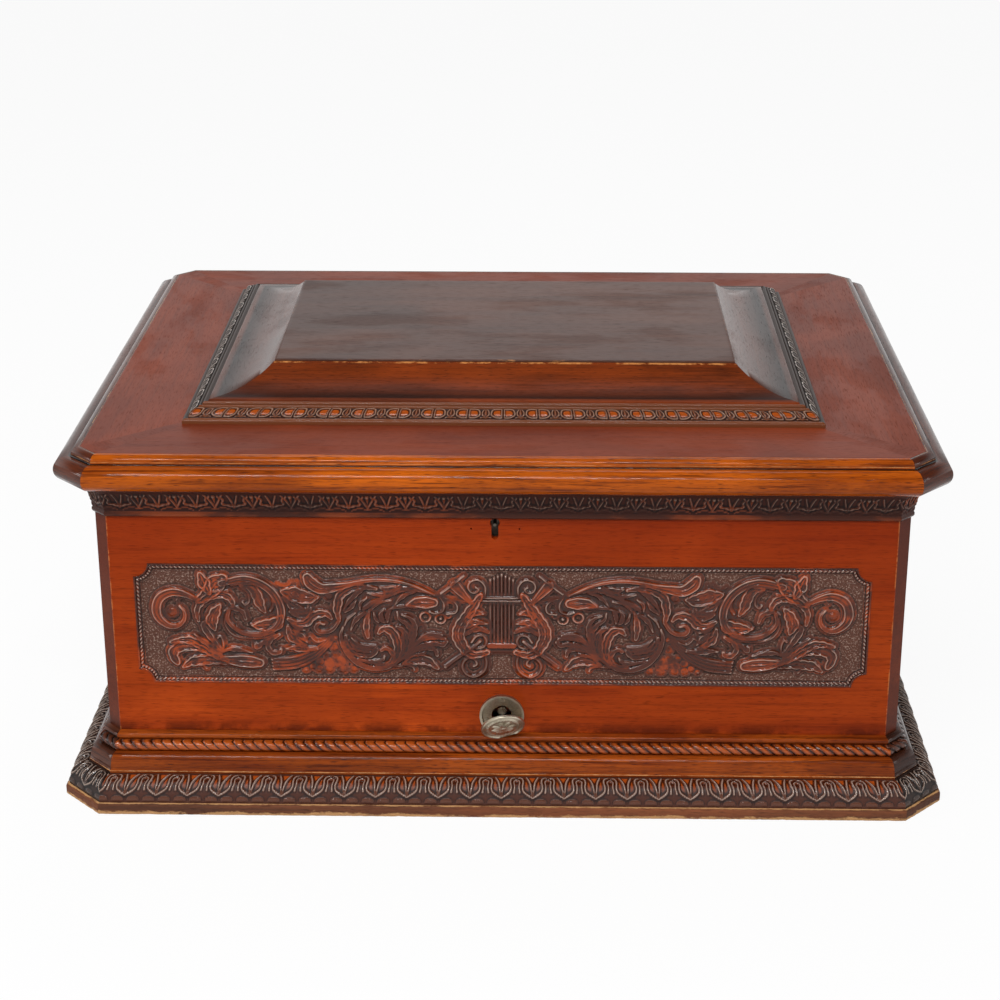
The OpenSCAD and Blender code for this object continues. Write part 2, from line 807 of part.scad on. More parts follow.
module stay_guide() {
  color(brass) translate(stay_guide_at) rotate([-stay_lean, 0, 0]) difference() {
    union() {
      rod_x(-5.5, 0, 0, 11, 7);
      rod_x(5.4, 0, 0, 3.6, 4.5);
    }
    translate([0, 0, -10]) cylinder(h = 20, r = stay_r + 0.3);
    rod_x(5, 0, 0, 8, stay_r + run);
  }
}

module stay_stud() {
  color(brass) {
    rod_x(stay_x + 5.5, stay_guide_at[1], stay_guide_at[2], inside_x - stay_x - 1, stay_r);
    rod_x(stay_x + 9.5, stay_guide_at[1], stay_guide_at[2], inside_x - stay_x - 9.5, 8);
  }
}

// Movement: bedplate and frame

module bedplate() {
  color(iron) translate([0, 0, bed_z]) linear_extrude(height = bed_t) difference() {
    union() {
      translate([-100, 0]) round_rect(324, 214, 18);
      translate([25, -152]) round_rect(242, 164, 14);
    }
    for (x = [-172, -106]) {
      for (y = [-42, 42]) {
        translate([x, y]) round_rect(56, 34, 8);
      }
    }
    translate([-sprocket_r - 5, sprocket_y - 5]) square([2 * sprocket_r + 10, 10]);
    translate([lever_at[0], lever_at[1]]) circle(r = 3 + run);
    for (p = bed_pillar_at) {
      translate(p) circle(r = bed_screw_r);
    }
  }
}

module bed_pillars() {
  color(iron) for (p = bed_pillar_at) {
    post(p, plinth_t, 4, 14);
    post(p, plinth_t, bed_z - plinth_t, 6.5);
    post(p, bed_z - 5, 5, 10);
    post(p, plinth_t + 4, 4, 9);
  }
}

// Side plate of the motor, with a flange along its top that is screwed to the bedplate
module motor_plate(y0, flange_y) {
  translate([0, y0 + plate_t, 0]) rotate([90, 0, 0]) linear_extrude(height = plate_t) difference() {
    translate([25, 91]) round_rect(186, 126, 14);
    translate([0, arbor_z]) circle(r = arbor_r + run);
    for (p = [[0, drive_z], first_at, second_at]) {
      translate(p) circle(r = pivot_r + run);
    }
    for (p = motor_pillar_at) {
      translate(p) circle(r = motor_stud_r);
    }
    translate([-34, 128]) round_rect(28, 22, 6);
    translate([24, 44]) round_rect(34, 16, 6);
  }
  translate([-54, flange_y, bed_z - 4]) cube([158, 8.5, 4]);
}

module front_motor_plate() {
  color(brass) {
    motor_plate(front_plate_y, front_plate_y - 8);
    rod_y(click_at[0], click_at[1], front_plate_y - 7.6, 7.7, 2.5);
  }
}

module rear_motor_plate() {
  color(brass) motor_plate(rear_plate_y, rear_plate_y + plate_t - 0.5);
}

module motor_pillars() {
  color(steel) for (p = motor_pillar_at) {
    rod_y(p[0], p[1], front_plate_y + plate_t, rear_plate_y - front_plate_y - plate_t, 4);
    rod_y(p[0], p[1], front_plate_y - 1, rear_plate_y - front_plate_y + plate_t + 2, motor_stud_r);
    rod_y(p[0], p[1], front_plate_y + plate_t, 5, 5.5);
    rod_y(p[0], p[1], rear_plate_y - 5, 5, 5.5);
    rod_y(p[0], p[1], front_plate_y - 2.5, 2.5, 4.5);
    rod_y(p[0], p[1], rear_plate_y + plate_t, 2.5, 4.5);
  }
}

// Spring motor

module spring_barrel() {
  color(brass) difference() {
    union() {
      rod_y(0, arbor_z, barrel_y, barrel_len, barrel_r);
      rod_y(0, arbor_z, barrel_y, 3, barrel_r + 1.5);
      rod_y(0, arbor_z, barrel_y + barrel_len - 3, 3, barrel_r + 1.5);
      rod_y(0, arbor_z, barrel_y - 3, 3.1, 12);
      rod_y(0, arbor_z, barrel_y + barrel_len - 0.1, great_y - barrel_y - barrel_len + 0.1, 24);
    }
    rod_y(0, arbor_z, barrel_y - 4, barrel_len + 10, arbor_r + run);
    for (a = [0:60:300]) {
      rod_y(34 * cos(a), arbor_z + 34 * sin(a), barrel_y - 1, 2.5, 2);
    }
  }
}

// Great wheel, crossed out with five arms
module great_wheel() {
  color(brass) difference() {
    gear_y(0, arbor_z, great_y, great_t, great_teeth, great_module, great_phase, arbor_r + run);
    for (a = [18:72:306]) {
      rod_y(34 * cos(a), arbor_z + 34 * sin(a), great_y - 1, great_t + 2, 9);
    }
  }
}

module winding_arbor() {
  color(steel) {
    rod_y(0, arbor_z, arbor_front_y, winding_end + 1, winding_end_r);
    rod_y(0, arbor_z, arbor_front_y + winding_end,
      rear_plate_y + plate_t + 4 - arbor_front_y - winding_end, arbor_r);
    rod_y(0, arbor_z, front_plate_y + plate_t + 0.3, 3, arbor_r + 3);
    rod_y(0, arbor_z, rear_plate_y - 4, 3.5, arbor_r + 3);
  }
}

module ratchet_wheel() {
  step = 360 / ratchet_teeth;
  outline = [for (i = [0:ratchet_teeth - 1]) each [
    ratchet_r * [cos(i * step), sin(i * step)],
    (ratchet_r - ratchet_deep) * [cos(i * step + 1.5), sin(i * step + 1.5)]]];
  color(steel) difference() {
    union() {
      translate([0, ratchet_y + ratchet_t, arbor_z]) rotate([90, 0, 0]) {
        linear_extrude(height = ratchet_t) polygon(outline);
      }
      rod_y(0, arbor_z, ratchet_y + ratchet_t - 0.1, 2.5, 7);
    }
    rod_y(0, arbor_z, ratchet_y - 1, 10, arbor_r);
  }
}

// Click: its nose falls behind a tooth of the ratchet wheel by its own weight
module click() {
  color(steel) translate([0, ratchet_y + ratchet_t - 0.5, 0]) rotate([90, 0, 0]) {
    linear_extrude(height = click_t) difference() {
      union() {
        translate(click_at) circle(r = click_boss);
        translate([0, arbor_z]) {
          polygon([[-22, 21.2], [-0.1, 17.5], [-0.25, 14], [-0.5, 11.8], [-3.6, 13.8], [-5, 15],
            [-20, 11.2]]);
        }
      }
      translate(click_at) circle(r = 2.5 + run);
    }
  }
}

// Arbor of the sprocket, with the pinion that the great wheel turns
module drive_arbor() {
  color(steel) {
    rod_y(0, drive_z, front_plate_y - 1, rear_plate_y + plate_t + 2 - front_plate_y, pivot_r);
    gear_y(0, drive_z, great_y - 1, great_t + 2, drive_pinion_teeth, great_module, drive_phase,
      pivot_r);
  }
}

// Sprocket whose pins come up through the holes near the disc's edge
module drive_sprocket() {
  step = 360 / sprocket_teeth;
  body_r = sprocket_r - 2.6;
  outline = [for (i = [0:sprocket_teeth - 1]) let (a = 90 + i * step) each [
    body_r * [cos(a - 3.4), sin(a - 3.4)],
    sprocket_r * [cos(a - 2), sin(a - 2)],
    (sprocket_r + 2.4) * [cos(a - 0.9), sin(a - 0.9)],
    (sprocket_r + 2.4) * [cos(a + 0.9), sin(a + 0.9)],
    sprocket_r * [cos(a + 2), sin(a + 2)],
    body_r * [cos(a + 3.4), sin(a + 3.4)]]];
  color(brass) difference() {
    union() {
      translate([0, sprocket_y + sprocket_t / 2, drive_z]) rotate([90, 0, 0]) {
        linear_extrude(height = sprocket_t) difference() {
          polygon(outline);
          for (a = [0:60:300]) {
            translate(27 * [cos(a), sin(a)]) circle(r = 9);
          }
        }
      }
      rod_y(0, drive_z, sprocket_y - 6, 12, 8);
    }
    rod_y(0, drive_z, sprocket_y - 8, 16, pivot_r);
  }
}

// Governor

module first_wheel() {
  color(brass) {
    rod_y(first_at[0], first_at[1], front_plate_y - 1, rear_plate_y + plate_t + 2 - front_plate_y,
      pivot_r);
    gear_y(first_at[0], first_at[1], great_y - 1, great_t + 2, first_pinion_teeth, great_module,
      first_phase, pivot_r);
    difference() {
      gear_y(first_at[0], first_at[1], first_wheel_y, first_t, first_teeth, first_module, 0, pivot_r);
      for (a = [0:60:300]) {
        rod_y(first_at[0] + 18 * cos(a), first_at[1] + 18 * sin(a), first_wheel_y - 1, first_t + 2, 6);
      }
    }
  }
}

module second_wheel() {
  color(brass) {
    rod_y(second_at[0], second_at[1], front_plate_y - 1, rear_plate_y + plate_t + 2 - front_plate_y,
      pivot_r);
    gear_y(second_at[0], second_at[1], first_wheel_y - 1, first_t + 2, second_pinion_teeth,
      first_module, second_phase, pivot_r);
    gear_y(second_at[0], second_at[1], worm_wheel_y, worm_wheel_t, worm_wheel_teeth, first_module,
      worm_wheel_phase, pivot_r);
    rod_y(second_at[0], second_at[1], worm_wheel_y - 3, 8, 5);
  }
}

module worm_thread(start) {
  turns = worm_len / worm_lead;
  rows = [for (i = [0:worm_steps]) let (
      a = start + i * 360 * turns / worm_steps,
      z = i * worm_len / worm_steps)
    [for (q = [[worm_r - 1.5, -0.75], [worm_r + 0.75, -0.3], [worm_r + 0.75, 0.3], [worm_r - 1.5, 0.75]])
      [q[0] * cos(a), q[0] * sin(a), z + q[1]]]];
  points = [for (r = rows) each r];
  sides = [for (i = [0:worm_steps - 1]) for (j = [0:3]) let (p = i * 4 + j, q = i * 4 + (j + 1) % 4)
    each [[p, q, q + 4], [p, q + 4, p + 4]]];
  polyhedron(points, concat(sides, [[3, 2, 1, 0]],
    [[worm_steps * 4, worm_steps * 4 + 1, worm_steps * 4 + 2, worm_steps * 4 + 3]]));
}

module governor_fly() {
  color(steel) translate([worm_x, worm_yc, 0]) {
    translate([0, 0, second_at[1] - 19]) cylinder(h = fly_z + 18 - second_at[1] + 19, r = 1.5);
    translate([0, 0, second_at[1] - worm_len / 2 - 1]) cylinder(h = worm_len + 2, r = worm_r - 1.3);
    translate([0, 0, second_at[1] - worm_len / 2]) {
      worm_thread(worm_phase);
      worm_thread(worm_phase + 180);
    }
    translate([0, 0, fly_z - 8]) cylinder(h = 16, r = 4);
    for (a = [0, 180]) {
      rotate([0, 0, a]) translate([3, -0.4, fly_z - 7]) cube([13, 0.8, 14]);
    }
  }
}

module governor_bracket() {
  lug_low = second_at[1] - 22;
  lug_high = fly_z + 13;
  color(brass) difference() {
    union() {
      translate([worm_x - 7, rear_plate_y - 5, lug_low]) cube([14, 5, lug_high + 4 - lug_low]);
      for (z = [lug_low, lug_high]) {
        translate([worm_x - 5, worm_yc, z]) cube([10, rear_plate_y - worm_yc - 2, 4]);
        translate([worm_x, worm_yc, z]) cylinder(h = 4, r = 5);
      }
    }
    translate([worm_x, worm_yc, lug_low - 1]) cylinder(h = lug_high - lug_low + 10, r = 1.5 + run);
  }
}

module stop_lever() {
  color(steel) {
    post(lever_at, fly_z - 4, bed_top + 8 - fly_z + 4, 3);
    translate([lever_at[0], lever_at[1], fly_z - 3]) rotate([0, 0, lever_finger_angle]) {
      translate([0, -1.2, 0]) cube([lever_finger, 2.4, 6]);
    }
    translate([lever_at[0], lever_at[1], bed_top + 0.3]) {
      cylinder(h = 4, r = 6);
      rotate([0, 0, lever_handle_angle]) {
        translate([0, -3, 0]) cube([lever_handle, 6, 3]);
        translate([lever_handle, 0, 0]) cylinder(h = 16, r = 4);
        translate([lever_handle, 0, 18]) sphere(r = 6);
      }
    }
  }
}

// Disc, spindle and pressure arm

module disc_spindle() {
  color(steel) {
    post([0, 0], bed_top, 4, 18);
    post([0, 0], bed_top, disc_z - 0.1 - bed_top, 9);
    post([0, 0], disc_z - 1, arm_z - 0.3 - disc_z + 1, spindle_r);
    post([0, 0], arm_z - 1, arm_t + 2, 2.6);
    post([0, 0], arm_z + arm_t + 0.3, 4, spindle_r);
    translate([0, 0, arm_z + arm_t + 4.2]) cylinder(h = 4, r1 = spindle_r, r2 = 1.5);
  }
}

module tune_disc() {
  color(steel) translate([0, 0, disc_z]) linear_extrude(height = disc_t) difference() {
    circle(r = disc_r, $fn = 180);
    circle(r = spindle_r + run);
    for (i = [0:drive_holes - 1]) {
      rotate(270 + i * 360 / drive_holes) translate([drive_hole_r, 0]) circle(r = 3.5, $fn = 24);
    }
    for (k = [0:notes - 1]) {
      for (j = [0:slots_per_track - 1]) {
        rotate(j * 72 + ((k * 29 + j * 17) % 11) * 5 + k * 3) {
          translate([-stars_x - k * note_pitch - slot_w / 2, -slot_l / 2]) square([slot_w, slot_l]);
        }
      }
    }
  }
}

module arm_post() {
  color(steel) {
    post([arm_x, 0], bed_top, 4, 14);
    post([arm_x, 0], bed_top, arm_z - 0.1 - bed_top, 9);
    post([arm_x, 0], arm_z - 1, arm_t + 1.6, 5);
    post([arm_x, 0], arm_z + arm_t + 0.4, 5, 8);
  }
}

module pressure_arm() {
  color(brass) {
    difference() {
      union() {
        translate([arm_x, -8, arm_z]) cube([-arm_x - 6, 16, arm_t]);
        post([arm_x, 0], arm_z, arm_t, 13);
        post([0, 0], arm_z, arm_t, 9.5);
        for (x = arm_lugs) {
          translate([x, -4, roller_z]) cube([3, 8, arm_z - roller_z + 1]);
          rod_x(x, 0, roller_z, 3, 2.9);
        }
      }
      post([arm_x, 0], arm_z - 1, arm_t + 2, 5 + run);
      post([0, 0], arm_z - 1, arm_t + 2, 2.6 + run);
      translate([-2.6 - run, -12, arm_z - 1]) cube([5.2 + 2 * run, 12, arm_t + 2]);
      rod_x(arm_lugs[0] - 1, 0, roller_z, 156, 1.5 + run);
    }
    post([arm_knob_x, 0], arm_z + arm_t - 0.1, 9, 3);
    translate([arm_knob_x, 0, arm_z + arm_t + 12]) sphere(r = 6.5);
  }
}

module pressure_rollers() {
  color(steel) rod_x(arm_lugs[0] - 1.5, 0, roller_z, arm_lugs[2] - arm_lugs[0] + 6, 1.5);
  color(brass) for (x = [-200, -168, -124, -90, -72]) {
    rod_x(x, 0, roller_z, 6, roller_r);
  }
}

// Combs and star wheels

function note_x(i) = stars_x + i * note_pitch;
function root_at(i) = comb_tip + bass_len + (treble_len - bass_len) * i / (notes - 1);
function comb_hole_x(i) = note_x(0) + (i + 0.5) * (notes - 1) * note_pitch / comb_holes;

module comb_outline() {
  w = (note_pitch - comb_cut) / 2;
  polygon(concat(
    [[note_x(0) - comb_ends, comb_back], [note_x(0) - comb_ends, root_at(0)]],
    [for (i = [0:notes - 1]) each [
      [note_x(i) - w, root_at(i)], [note_x(i) - w, comb_tip + 7], [note_x(i) - 0.6, comb_tip],
      [note_x(i) + 0.6, comb_tip], [note_x(i) + w, comb_tip + 7], [note_x(i) + w, root_at(i)]]],
    [[note_x(notes - 1) + comb_ends, root_at(notes - 1)], [note_x(notes - 1) + comb_ends, comb_back]]));
}

module comb() {
  translate([0, 0, comb_z]) linear_extrude(height = comb_t) difference() {
    comb_outline();
    for (i = [0:comb_holes - 1]) {
      translate([comb_hole_x(i), comb_back - 12]) circle(r = 2.2);
    }
  }
}

module rear_comb() {
  color(steel) comb();
}

module front_comb() {
  color(steel) mirror([0, 1, 0]) comb();
}

module comb_base() {
  x0 = note_x(0) - comb_ends;
  x1 = note_x(notes - 1) + comb_ends;
  translate([0, 0, bed_top]) linear_extrude(height = comb_z - bed_top) difference() {
    polygon([[x0, comb_back], [x0, root_at(0) + 3], [x1, root_at(notes - 1) + 3], [x1, comb_back]]);
    for (i = [0:comb_holes - 1]) {
      translate([comb_hole_x(i), comb_back - 12]) circle(r = 2);
    }
  }
}

module comb_bases() {
  color(gilt) {
    comb_base();
    mirror([0, 1, 0]) comb_base();
  }
}

module movement_screws() {
  color(blued) {
    for (s = [-1, 1]) {
      for (i = [0:comb_holes - 1]) {
        translate([comb_hole_x(i), s * (comb_back - 12), comb_z + comb_t]) {
          rotate([0, 0, 25 + 40 * i]) slotted_screw(4, 3, 2, comb_t + comb_z - bed_top);
        }
      }
    }
    for (i = [0:len(bed_pillar_at) - 1]) {
      translate([bed_pillar_at[i][0], bed_pillar_at[i][1], bed_top]) {
        rotate([0, 0, 17 + 50 * i]) slotted_screw(6, 4, bed_screw_r, bed_t);
      }
    }
  }
}

function bridge_lug_x(j) = note_x(j * notes / (bridge_lugs - 1)) - note_pitch / 2;

module star_bridge() {
  x0 = bridge_lug_x(0) - 4;
  x1 = bridge_lug_x(bridge_lugs - 1) + 4;
  color(gilt) {
    translate([x0, -bridge_w, bed_top]) cube([x1 - x0, 2 * bridge_w, star_z - star_r - 1 - bed_top]);
    for (j = [0:bridge_lugs - 1]) {
      difference() {
        union() {
          translate([bridge_lug_x(j) - 0.7, -3, star_z - star_r - 1.5]) cube([1.4, 6, star_r + 1.5]);
          rod_x(bridge_lug_x(j) - 0.7, 0, star_z, 1.4, 3);
        }
        rod_x(bridge_lug_x(j) - 2, 0, star_z, 4, shaft_r);
      }
    }
  }
}

module star_shaft() {
  x0 = bridge_lug_x(0) - 2;
  x1 = bridge_lug_x(bridge_lugs - 1) + 2;
  color(steel) rod_x(x0, 0, star_z, x1 - x0, shaft_r);
}

module star_wheels() {
  outline = [for (i = [0:star_points - 1]) let (a = i * 360 / star_points) each [
    star_r * [cos(a - 3), sin(a - 3)],
    star_r * [cos(a + 3), sin(a + 3)],
    0.55 * star_r * [cos(a + 180 / star_points), sin(a + 180 / star_points)]]];
  color(brass) for (i = [0:notes - 1]) {
    translate([note_x(i) - star_t / 2, 0, star_z]) rotate([90, 0, 90]) {
      linear_extrude(height = star_t) difference() {
        polygon(outline);
        circle(r = shaft_r + run, $fn = 24);
      }
    }
  }
}

// Damper wires stand on a rail under the tips of the comb's teeth
module damper_rail() {
  x0 = note_x(0) - comb_ends;
  x1 = note_x(notes - 1) + comb_ends;
  translate([x0, damper_y - 2, bed_top]) cube([x1 - x0, 4, 8]);
  for (i = [0:notes - 1]) {
    translate([note_x(i) - 0.3, damper_y - 0.6, bed_top + 7.9]) {
      cube([0.6, 1.2, comb_z - 0.3 - bed_top - 7.9]);
    }
  }
}

module damper_rails() {
  color(gilt) {
    damper_rail();
    mirror([0, 1, 0]) damper_rail();
  }
}

plinth_board();
leaf_moulding();
base_bands();
rope_moulding();
front_wall();
back_wall();
left_wall();
right_wall();
carved_panel();
frieze_moulding();
case_hinge_leaves();
lock_case();
lock_bolt();
winding_plate();
winding_flap();
flap_pin();
plate_screw();
lid_frame();
lid_strip();
lid_cavetto();
lid_crown_board();
lid_lining();
lid_hinge_leaves();
link_plate();
stay_bracket();
stay_rod();
stay_guide();
stay_stud();
bedplate();
bed_pillars();
front_motor_plate();
rear_motor_plate();
motor_pillars();
disc_spindle();
front_comb();
rear_comb();
comb_bases();
movement_screws();
star_bridge();
star_shaft();
star_wheels();
damper_rails();
arm_post();
governor_bracket();
spring_barrel();
great_wheel();
winding_arbor();
ratchet_wheel();
click();
drive_arbor();
drive_sprocket();
first_wheel();
second_wheel();
governor_fly();
stop_lever();
tune_disc();
pressure_arm();
pressure_rollers();
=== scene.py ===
"""Disc music box in a carved mahogany case: the finished pieces and their materials.

Sizes are millimetres until a mesh is made, and the meshes are in metres. The origin is on
the floor under the middle of the case, with the front towards -Y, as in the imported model.
"""
from __future__ import annotations

import json
import logging
import math
from dataclasses import dataclass, field, replace
from enum import Enum
from typing import Callable, Iterable, Sequence

import bpy
import numpy as np
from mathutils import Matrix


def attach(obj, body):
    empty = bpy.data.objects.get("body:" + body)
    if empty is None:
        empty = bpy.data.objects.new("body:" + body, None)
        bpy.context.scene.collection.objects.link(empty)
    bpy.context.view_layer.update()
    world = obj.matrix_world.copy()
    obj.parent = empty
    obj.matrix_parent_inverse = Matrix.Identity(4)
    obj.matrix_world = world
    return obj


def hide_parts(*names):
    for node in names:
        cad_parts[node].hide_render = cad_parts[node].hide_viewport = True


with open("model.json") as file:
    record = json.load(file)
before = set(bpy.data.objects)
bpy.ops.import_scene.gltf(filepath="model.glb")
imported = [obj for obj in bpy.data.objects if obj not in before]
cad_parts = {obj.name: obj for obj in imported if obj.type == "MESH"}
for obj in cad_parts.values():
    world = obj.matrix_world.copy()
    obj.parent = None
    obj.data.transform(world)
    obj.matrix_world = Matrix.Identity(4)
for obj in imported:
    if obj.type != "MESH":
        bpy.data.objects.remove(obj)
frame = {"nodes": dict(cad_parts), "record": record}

LOG = logging.getLogger("music_box")
MM = 0.001

Point = tuple[float, float]
Colour = tuple[float, float, float]
Socket = bpy.types.NodeSocket
Box = tuple[tuple[float, float, float], tuple[float, float, float]]

# Places on the walls, in millimetres, that the walls' finish needs; between SHADE_FROM and
# SHADE_TO, towards the lid, the wall gets painted shade, and its cut corners get painted shade
# too
ARRIS_X, ARRIS_Y = 321.0, 242.0
CORNER_FROM, CORNER_TO = 321.2, 322.0
SHADE_FROM, SHADE_TO = 150.0, 268.0
# Painted shade colour of the walls' cut corners, which face away from the light
CORNER_SHADE: Colour = (0.035, 0.014, 0.009)

# How a carved leaf is hollowed, in millimetres
RIM_WIDTH = 1.3
SCOOP_FROM, SCOOP_WIDTH = 1.1, 2.0
FLUTE_PITCH = 2.3
NARROW = 1.5
LOBE_STEPS = 7.0

# How far the grain moves on from one board of a moulding to the next
BOARD_SHIFT = 1370.0

# The middle of the lid's raised part in Y; it stands a little to the front
MIDDLE_Y = -4.0


# Node tree helpers

class Graph:
    """A node tree with short calls for the nodes that the finishes use."""

    def __init__(self, tree: bpy.types.NodeTree) -> None:
        """Wraps the tree that new nodes go into."""
        self.tree = tree

    def node(self, kind: str, **settings: object) -> bpy.types.Node:
        """Adds a node.

        Args:
            kind: Node type without the ShaderNode prefix.
            settings: Properties of the node.

        Returns:
            The new node.
        """
        new = self.tree.nodes.new("ShaderNode" + kind)
        for name, value in settings.items():
            setattr(new, name, value)
        return new

    def feed(self, socket: Socket, value: object) -> None:
        """Links a socket, or sets its value.

        Args:
            socket: The input socket.
            value: An output socket, a number, or a tuple.
        """
        if isinstance(value, bpy.types.NodeSocket):
            self.tree.links.new(value, socket)
        elif isinstance(value, tuple) and len(value) == 3 and socket.type == "RGBA":
            socket.default_value = (*value, 1.0)
        else:
            socket.default_value = value

    def fed(self, kind: str, values: dict[int | str, object],
            **settings: object) -> bpy.types.Node:
        """Adds a node and feeds its inputs.

        Args:
            kind: Node type without the ShaderNode prefix.
            values: What each input gets, by its number or name.
            settings: Properties of the node.

        Returns:
            The new node.
        """
        new = self.node(kind, **settings)
        for place, value in values.items():
            self.feed(new.inputs[place], value)
        return new

    def math(self, operation: str, first: object, second: object = 0.0) -> Socket:
        """Works out one number from two."""
        return self.fed("Math", {0: first, 1: second}, operation=operation).outputs[0]

    def mix(self, factor: object, first: object, second: object) -> Socket:
        """Mixes two colours."""
        return self.fed("Mix", {0: factor, 6: first, 7: second}, data_type="RGBA").outputs[2]

    def over(self, mask: object, share: object, under: object, colour: object) -> Socket:
        """Lays a share of a colour over another one, where a mask is high."""
        return self.mix(self.math("MULTIPLY", mask, share), under, colour)

    def scaled(self, vector: Socket, scale: tuple[float, float, float]) -> Socket:
        """Multiplies a vector by a constant one."""
        return self.fed("VectorMath", {0: vector, 1: scale}, operation="MULTIPLY").outputs[0]

    def noise(self, vector: Socket, scale: float, detail: float = 3.0,
              rough: float = 0.55, bend: float = 0.0) -> Socket:
        """Gives the grey value of a noise texture."""
        return self.fed("TexNoise", {"Vector": vector, "Scale": scale, "Detail": detail,
                                     "Roughness": rough, "Distortion": bend}).outputs[0]

    def band(self, value: object, low: float, high: float) -> Socket:
        """Maps low..high smoothly to 0..1; low may be the larger one."""
        start = 0.0 if low < high else 1.0
        return self.fed("MapRange", {0: value, 1: min(low, high), 2: max(low, high), 3: start,
                                     4: 1.0 - start}, interpolation_type="SMOOTHSTEP").outputs[0]

    def stored(self, name: str) -> Socket:
        """Reads a number that the mesh holds."""
        return self.node("Attribute", attribute_name=name).outputs["Fac"]

    def axes(self, vector: Socket) -> Sequence[Socket]:
        """Splits a vector into its three numbers."""
        return self.fed("SeparateXYZ", {0: vector}).outputs

    def bump(self, shader: bpy.types.Node, height: Socket, strength: float,
             depth: float) -> None:
        """Gives a shader small relief; the depth is in metres."""
        new = self.fed("Bump", {"Strength": strength, "Distance": depth, "Height": height})
        self.feed(shader.inputs["Normal"], new.outputs[0])

    def seen(self) -> Socket:
        """Tells whether a surface is looked at, also in a mirror or through glass.

        Returns:
            1 for camera, glossy and transmission rays, and 0 for the others.
        """
        path = self.node("LightPath")
        mirrored = self.math("MAXIMUM", path.outputs["Is Camera Ray"],
                             path.outputs["Is Glossy Ray"])
        return self.math("MAXIMUM", mirrored, path.outputs["Is Transmission Ray"])


def times(colour: Colour, share: float) -> Colour:
    """Makes a colour darker or lighter."""
    return tuple(share * c for c in colour)


def new_group(name: str, inputs: Sequence[tuple[str, str, object]],
              outputs: Sequence[tuple[str, str]]) -> tuple[Graph, dict[str, Socket],
                                                           bpy.types.Node]:
    """Makes an empty shader node group.

    Args:
        name: The group's name.
        inputs: Name, socket type and default of each input.
        outputs: Name and socket type of each output.

    Returns:
        The group's graph, its inputs by name, and its output node.
    """
    tree = bpy.data.node_groups.new(name, "ShaderNodeTree")
    for label, kind, default in inputs:
        socket = tree.interface.new_socket(name=label, in_out="INPUT", socket_type=kind)
        if default is not None:
            socket.default_value = default
    for label, kind in outputs:
        tree.interface.new_socket(name=label, in_out="OUTPUT", socket_type=kind)
    source = tree.nodes.new("NodeGroupInput")
    sink = tree.nodes.new("NodeGroupOutput")
    return Graph(tree), {s.name: s for s in source.outputs}, sink


FLOAT, VECTOR = "NodeSocketFloat", "NodeSocketVector"


def make_grain_group() -> bpy.types.NodeTree:
    """Makes the wood grain: long soft streaks, pores, and cloudy figure.

    Returns:
        The node group. Its vector is in metres with X along the grain.
    """
    graph, given, sink = new_group(
        "Mahogany grain",
        [("Vector", VECTOR, None), ("Pore depth", FLOAT, 1.0)],
        [("Tone", FLOAT), ("Pores", FLOAT), ("Figure", FLOAT), ("Streaks", FLOAT),
         ("Height", FLOAT)])
    vector = given["Vector"]
    wide = graph.noise(graph.scaled(vector, (2.2, 26.0, 26.0)), 1.0, 4.0, 0.6, 0.7)
    fine = graph.noise(graph.scaled(vector, (9.0, 420.0, 420.0)), 1.0, 3.0, 0.6, 0.2)
    tone = graph.math("ADD", graph.math("MULTIPLY", wide, 0.72),
                      graph.math("MULTIPLY", fine, 0.28))
    dashes = graph.noise(graph.scaled(vector, (95.0, 1700.0, 1700.0)), 1.0, 1.5, 0.5)
    pores = graph.band(dashes, 0.56, 0.72)
    patches = graph.noise(graph.scaled(vector, (7.0, 16.0, 16.0)), 1.0, 3.0, 0.55, 1.2)
    lines = graph.noise(graph.scaled(vector, (11.0, 380.0, 380.0)), 1.0, 4.0, 0.65, 0.3)
    depth = graph.math("MULTIPLY", pores, given["Pore depth"])
    height = graph.math("SUBTRACT", 1.0, depth)
    graph.feed(sink.inputs["Tone"], graph.band(tone, 0.34, 0.66))
    graph.feed(sink.inputs["Pores"], pores)
    graph.feed(sink.inputs["Figure"], graph.band(patches, 0.33, 0.67))
    graph.feed(sink.inputs["Streaks"], graph.band(lines, 0.5, 0.66))
    graph.feed(sink.inputs["Height"], height)
    return graph.tree


def make_wear_group() -> bpy.types.NodeTree:
    """Makes broken wear from an edge mask, and rubbed patches.

    Returns:
        The node group.
    """
    graph, given, sink = new_group(
        "Edge wear",
        [("Vector", VECTOR, None), ("Edge", FLOAT, 0.0), ("Amount", FLOAT, 0.5)],
        [("Wear", FLOAT), ("Patches", FLOAT)])
    coarse = graph.noise(graph.scaled(given["Vector"], (30.0, 60.0, 60.0)), 1.0, 5.0, 0.7)
    fine = graph.noise(graph.scaled(given["Vector"], (260.0, 700.0, 700.0)), 1.0, 3.0, 0.6)
    ragged = graph.math("ADD", graph.math("MULTIPLY", coarse, 0.75),
                        graph.math("MULTIPLY", fine, 0.25))
    pushed = graph.math("ADD", ragged, graph.math("MULTIPLY", given["Edge"], given["Amount"]))
    graph.feed(sink.inputs["Wear"], graph.band(pushed, 0.9, 1.02))
    large = graph.noise(graph.scaled(given["Vector"], (9.0, 22.0, 22.0)), 1.0, 4.0, 0.6)
    graph.feed(sink.inputs["Patches"], graph.band(large, 0.47, 0.62))
    return graph.tree


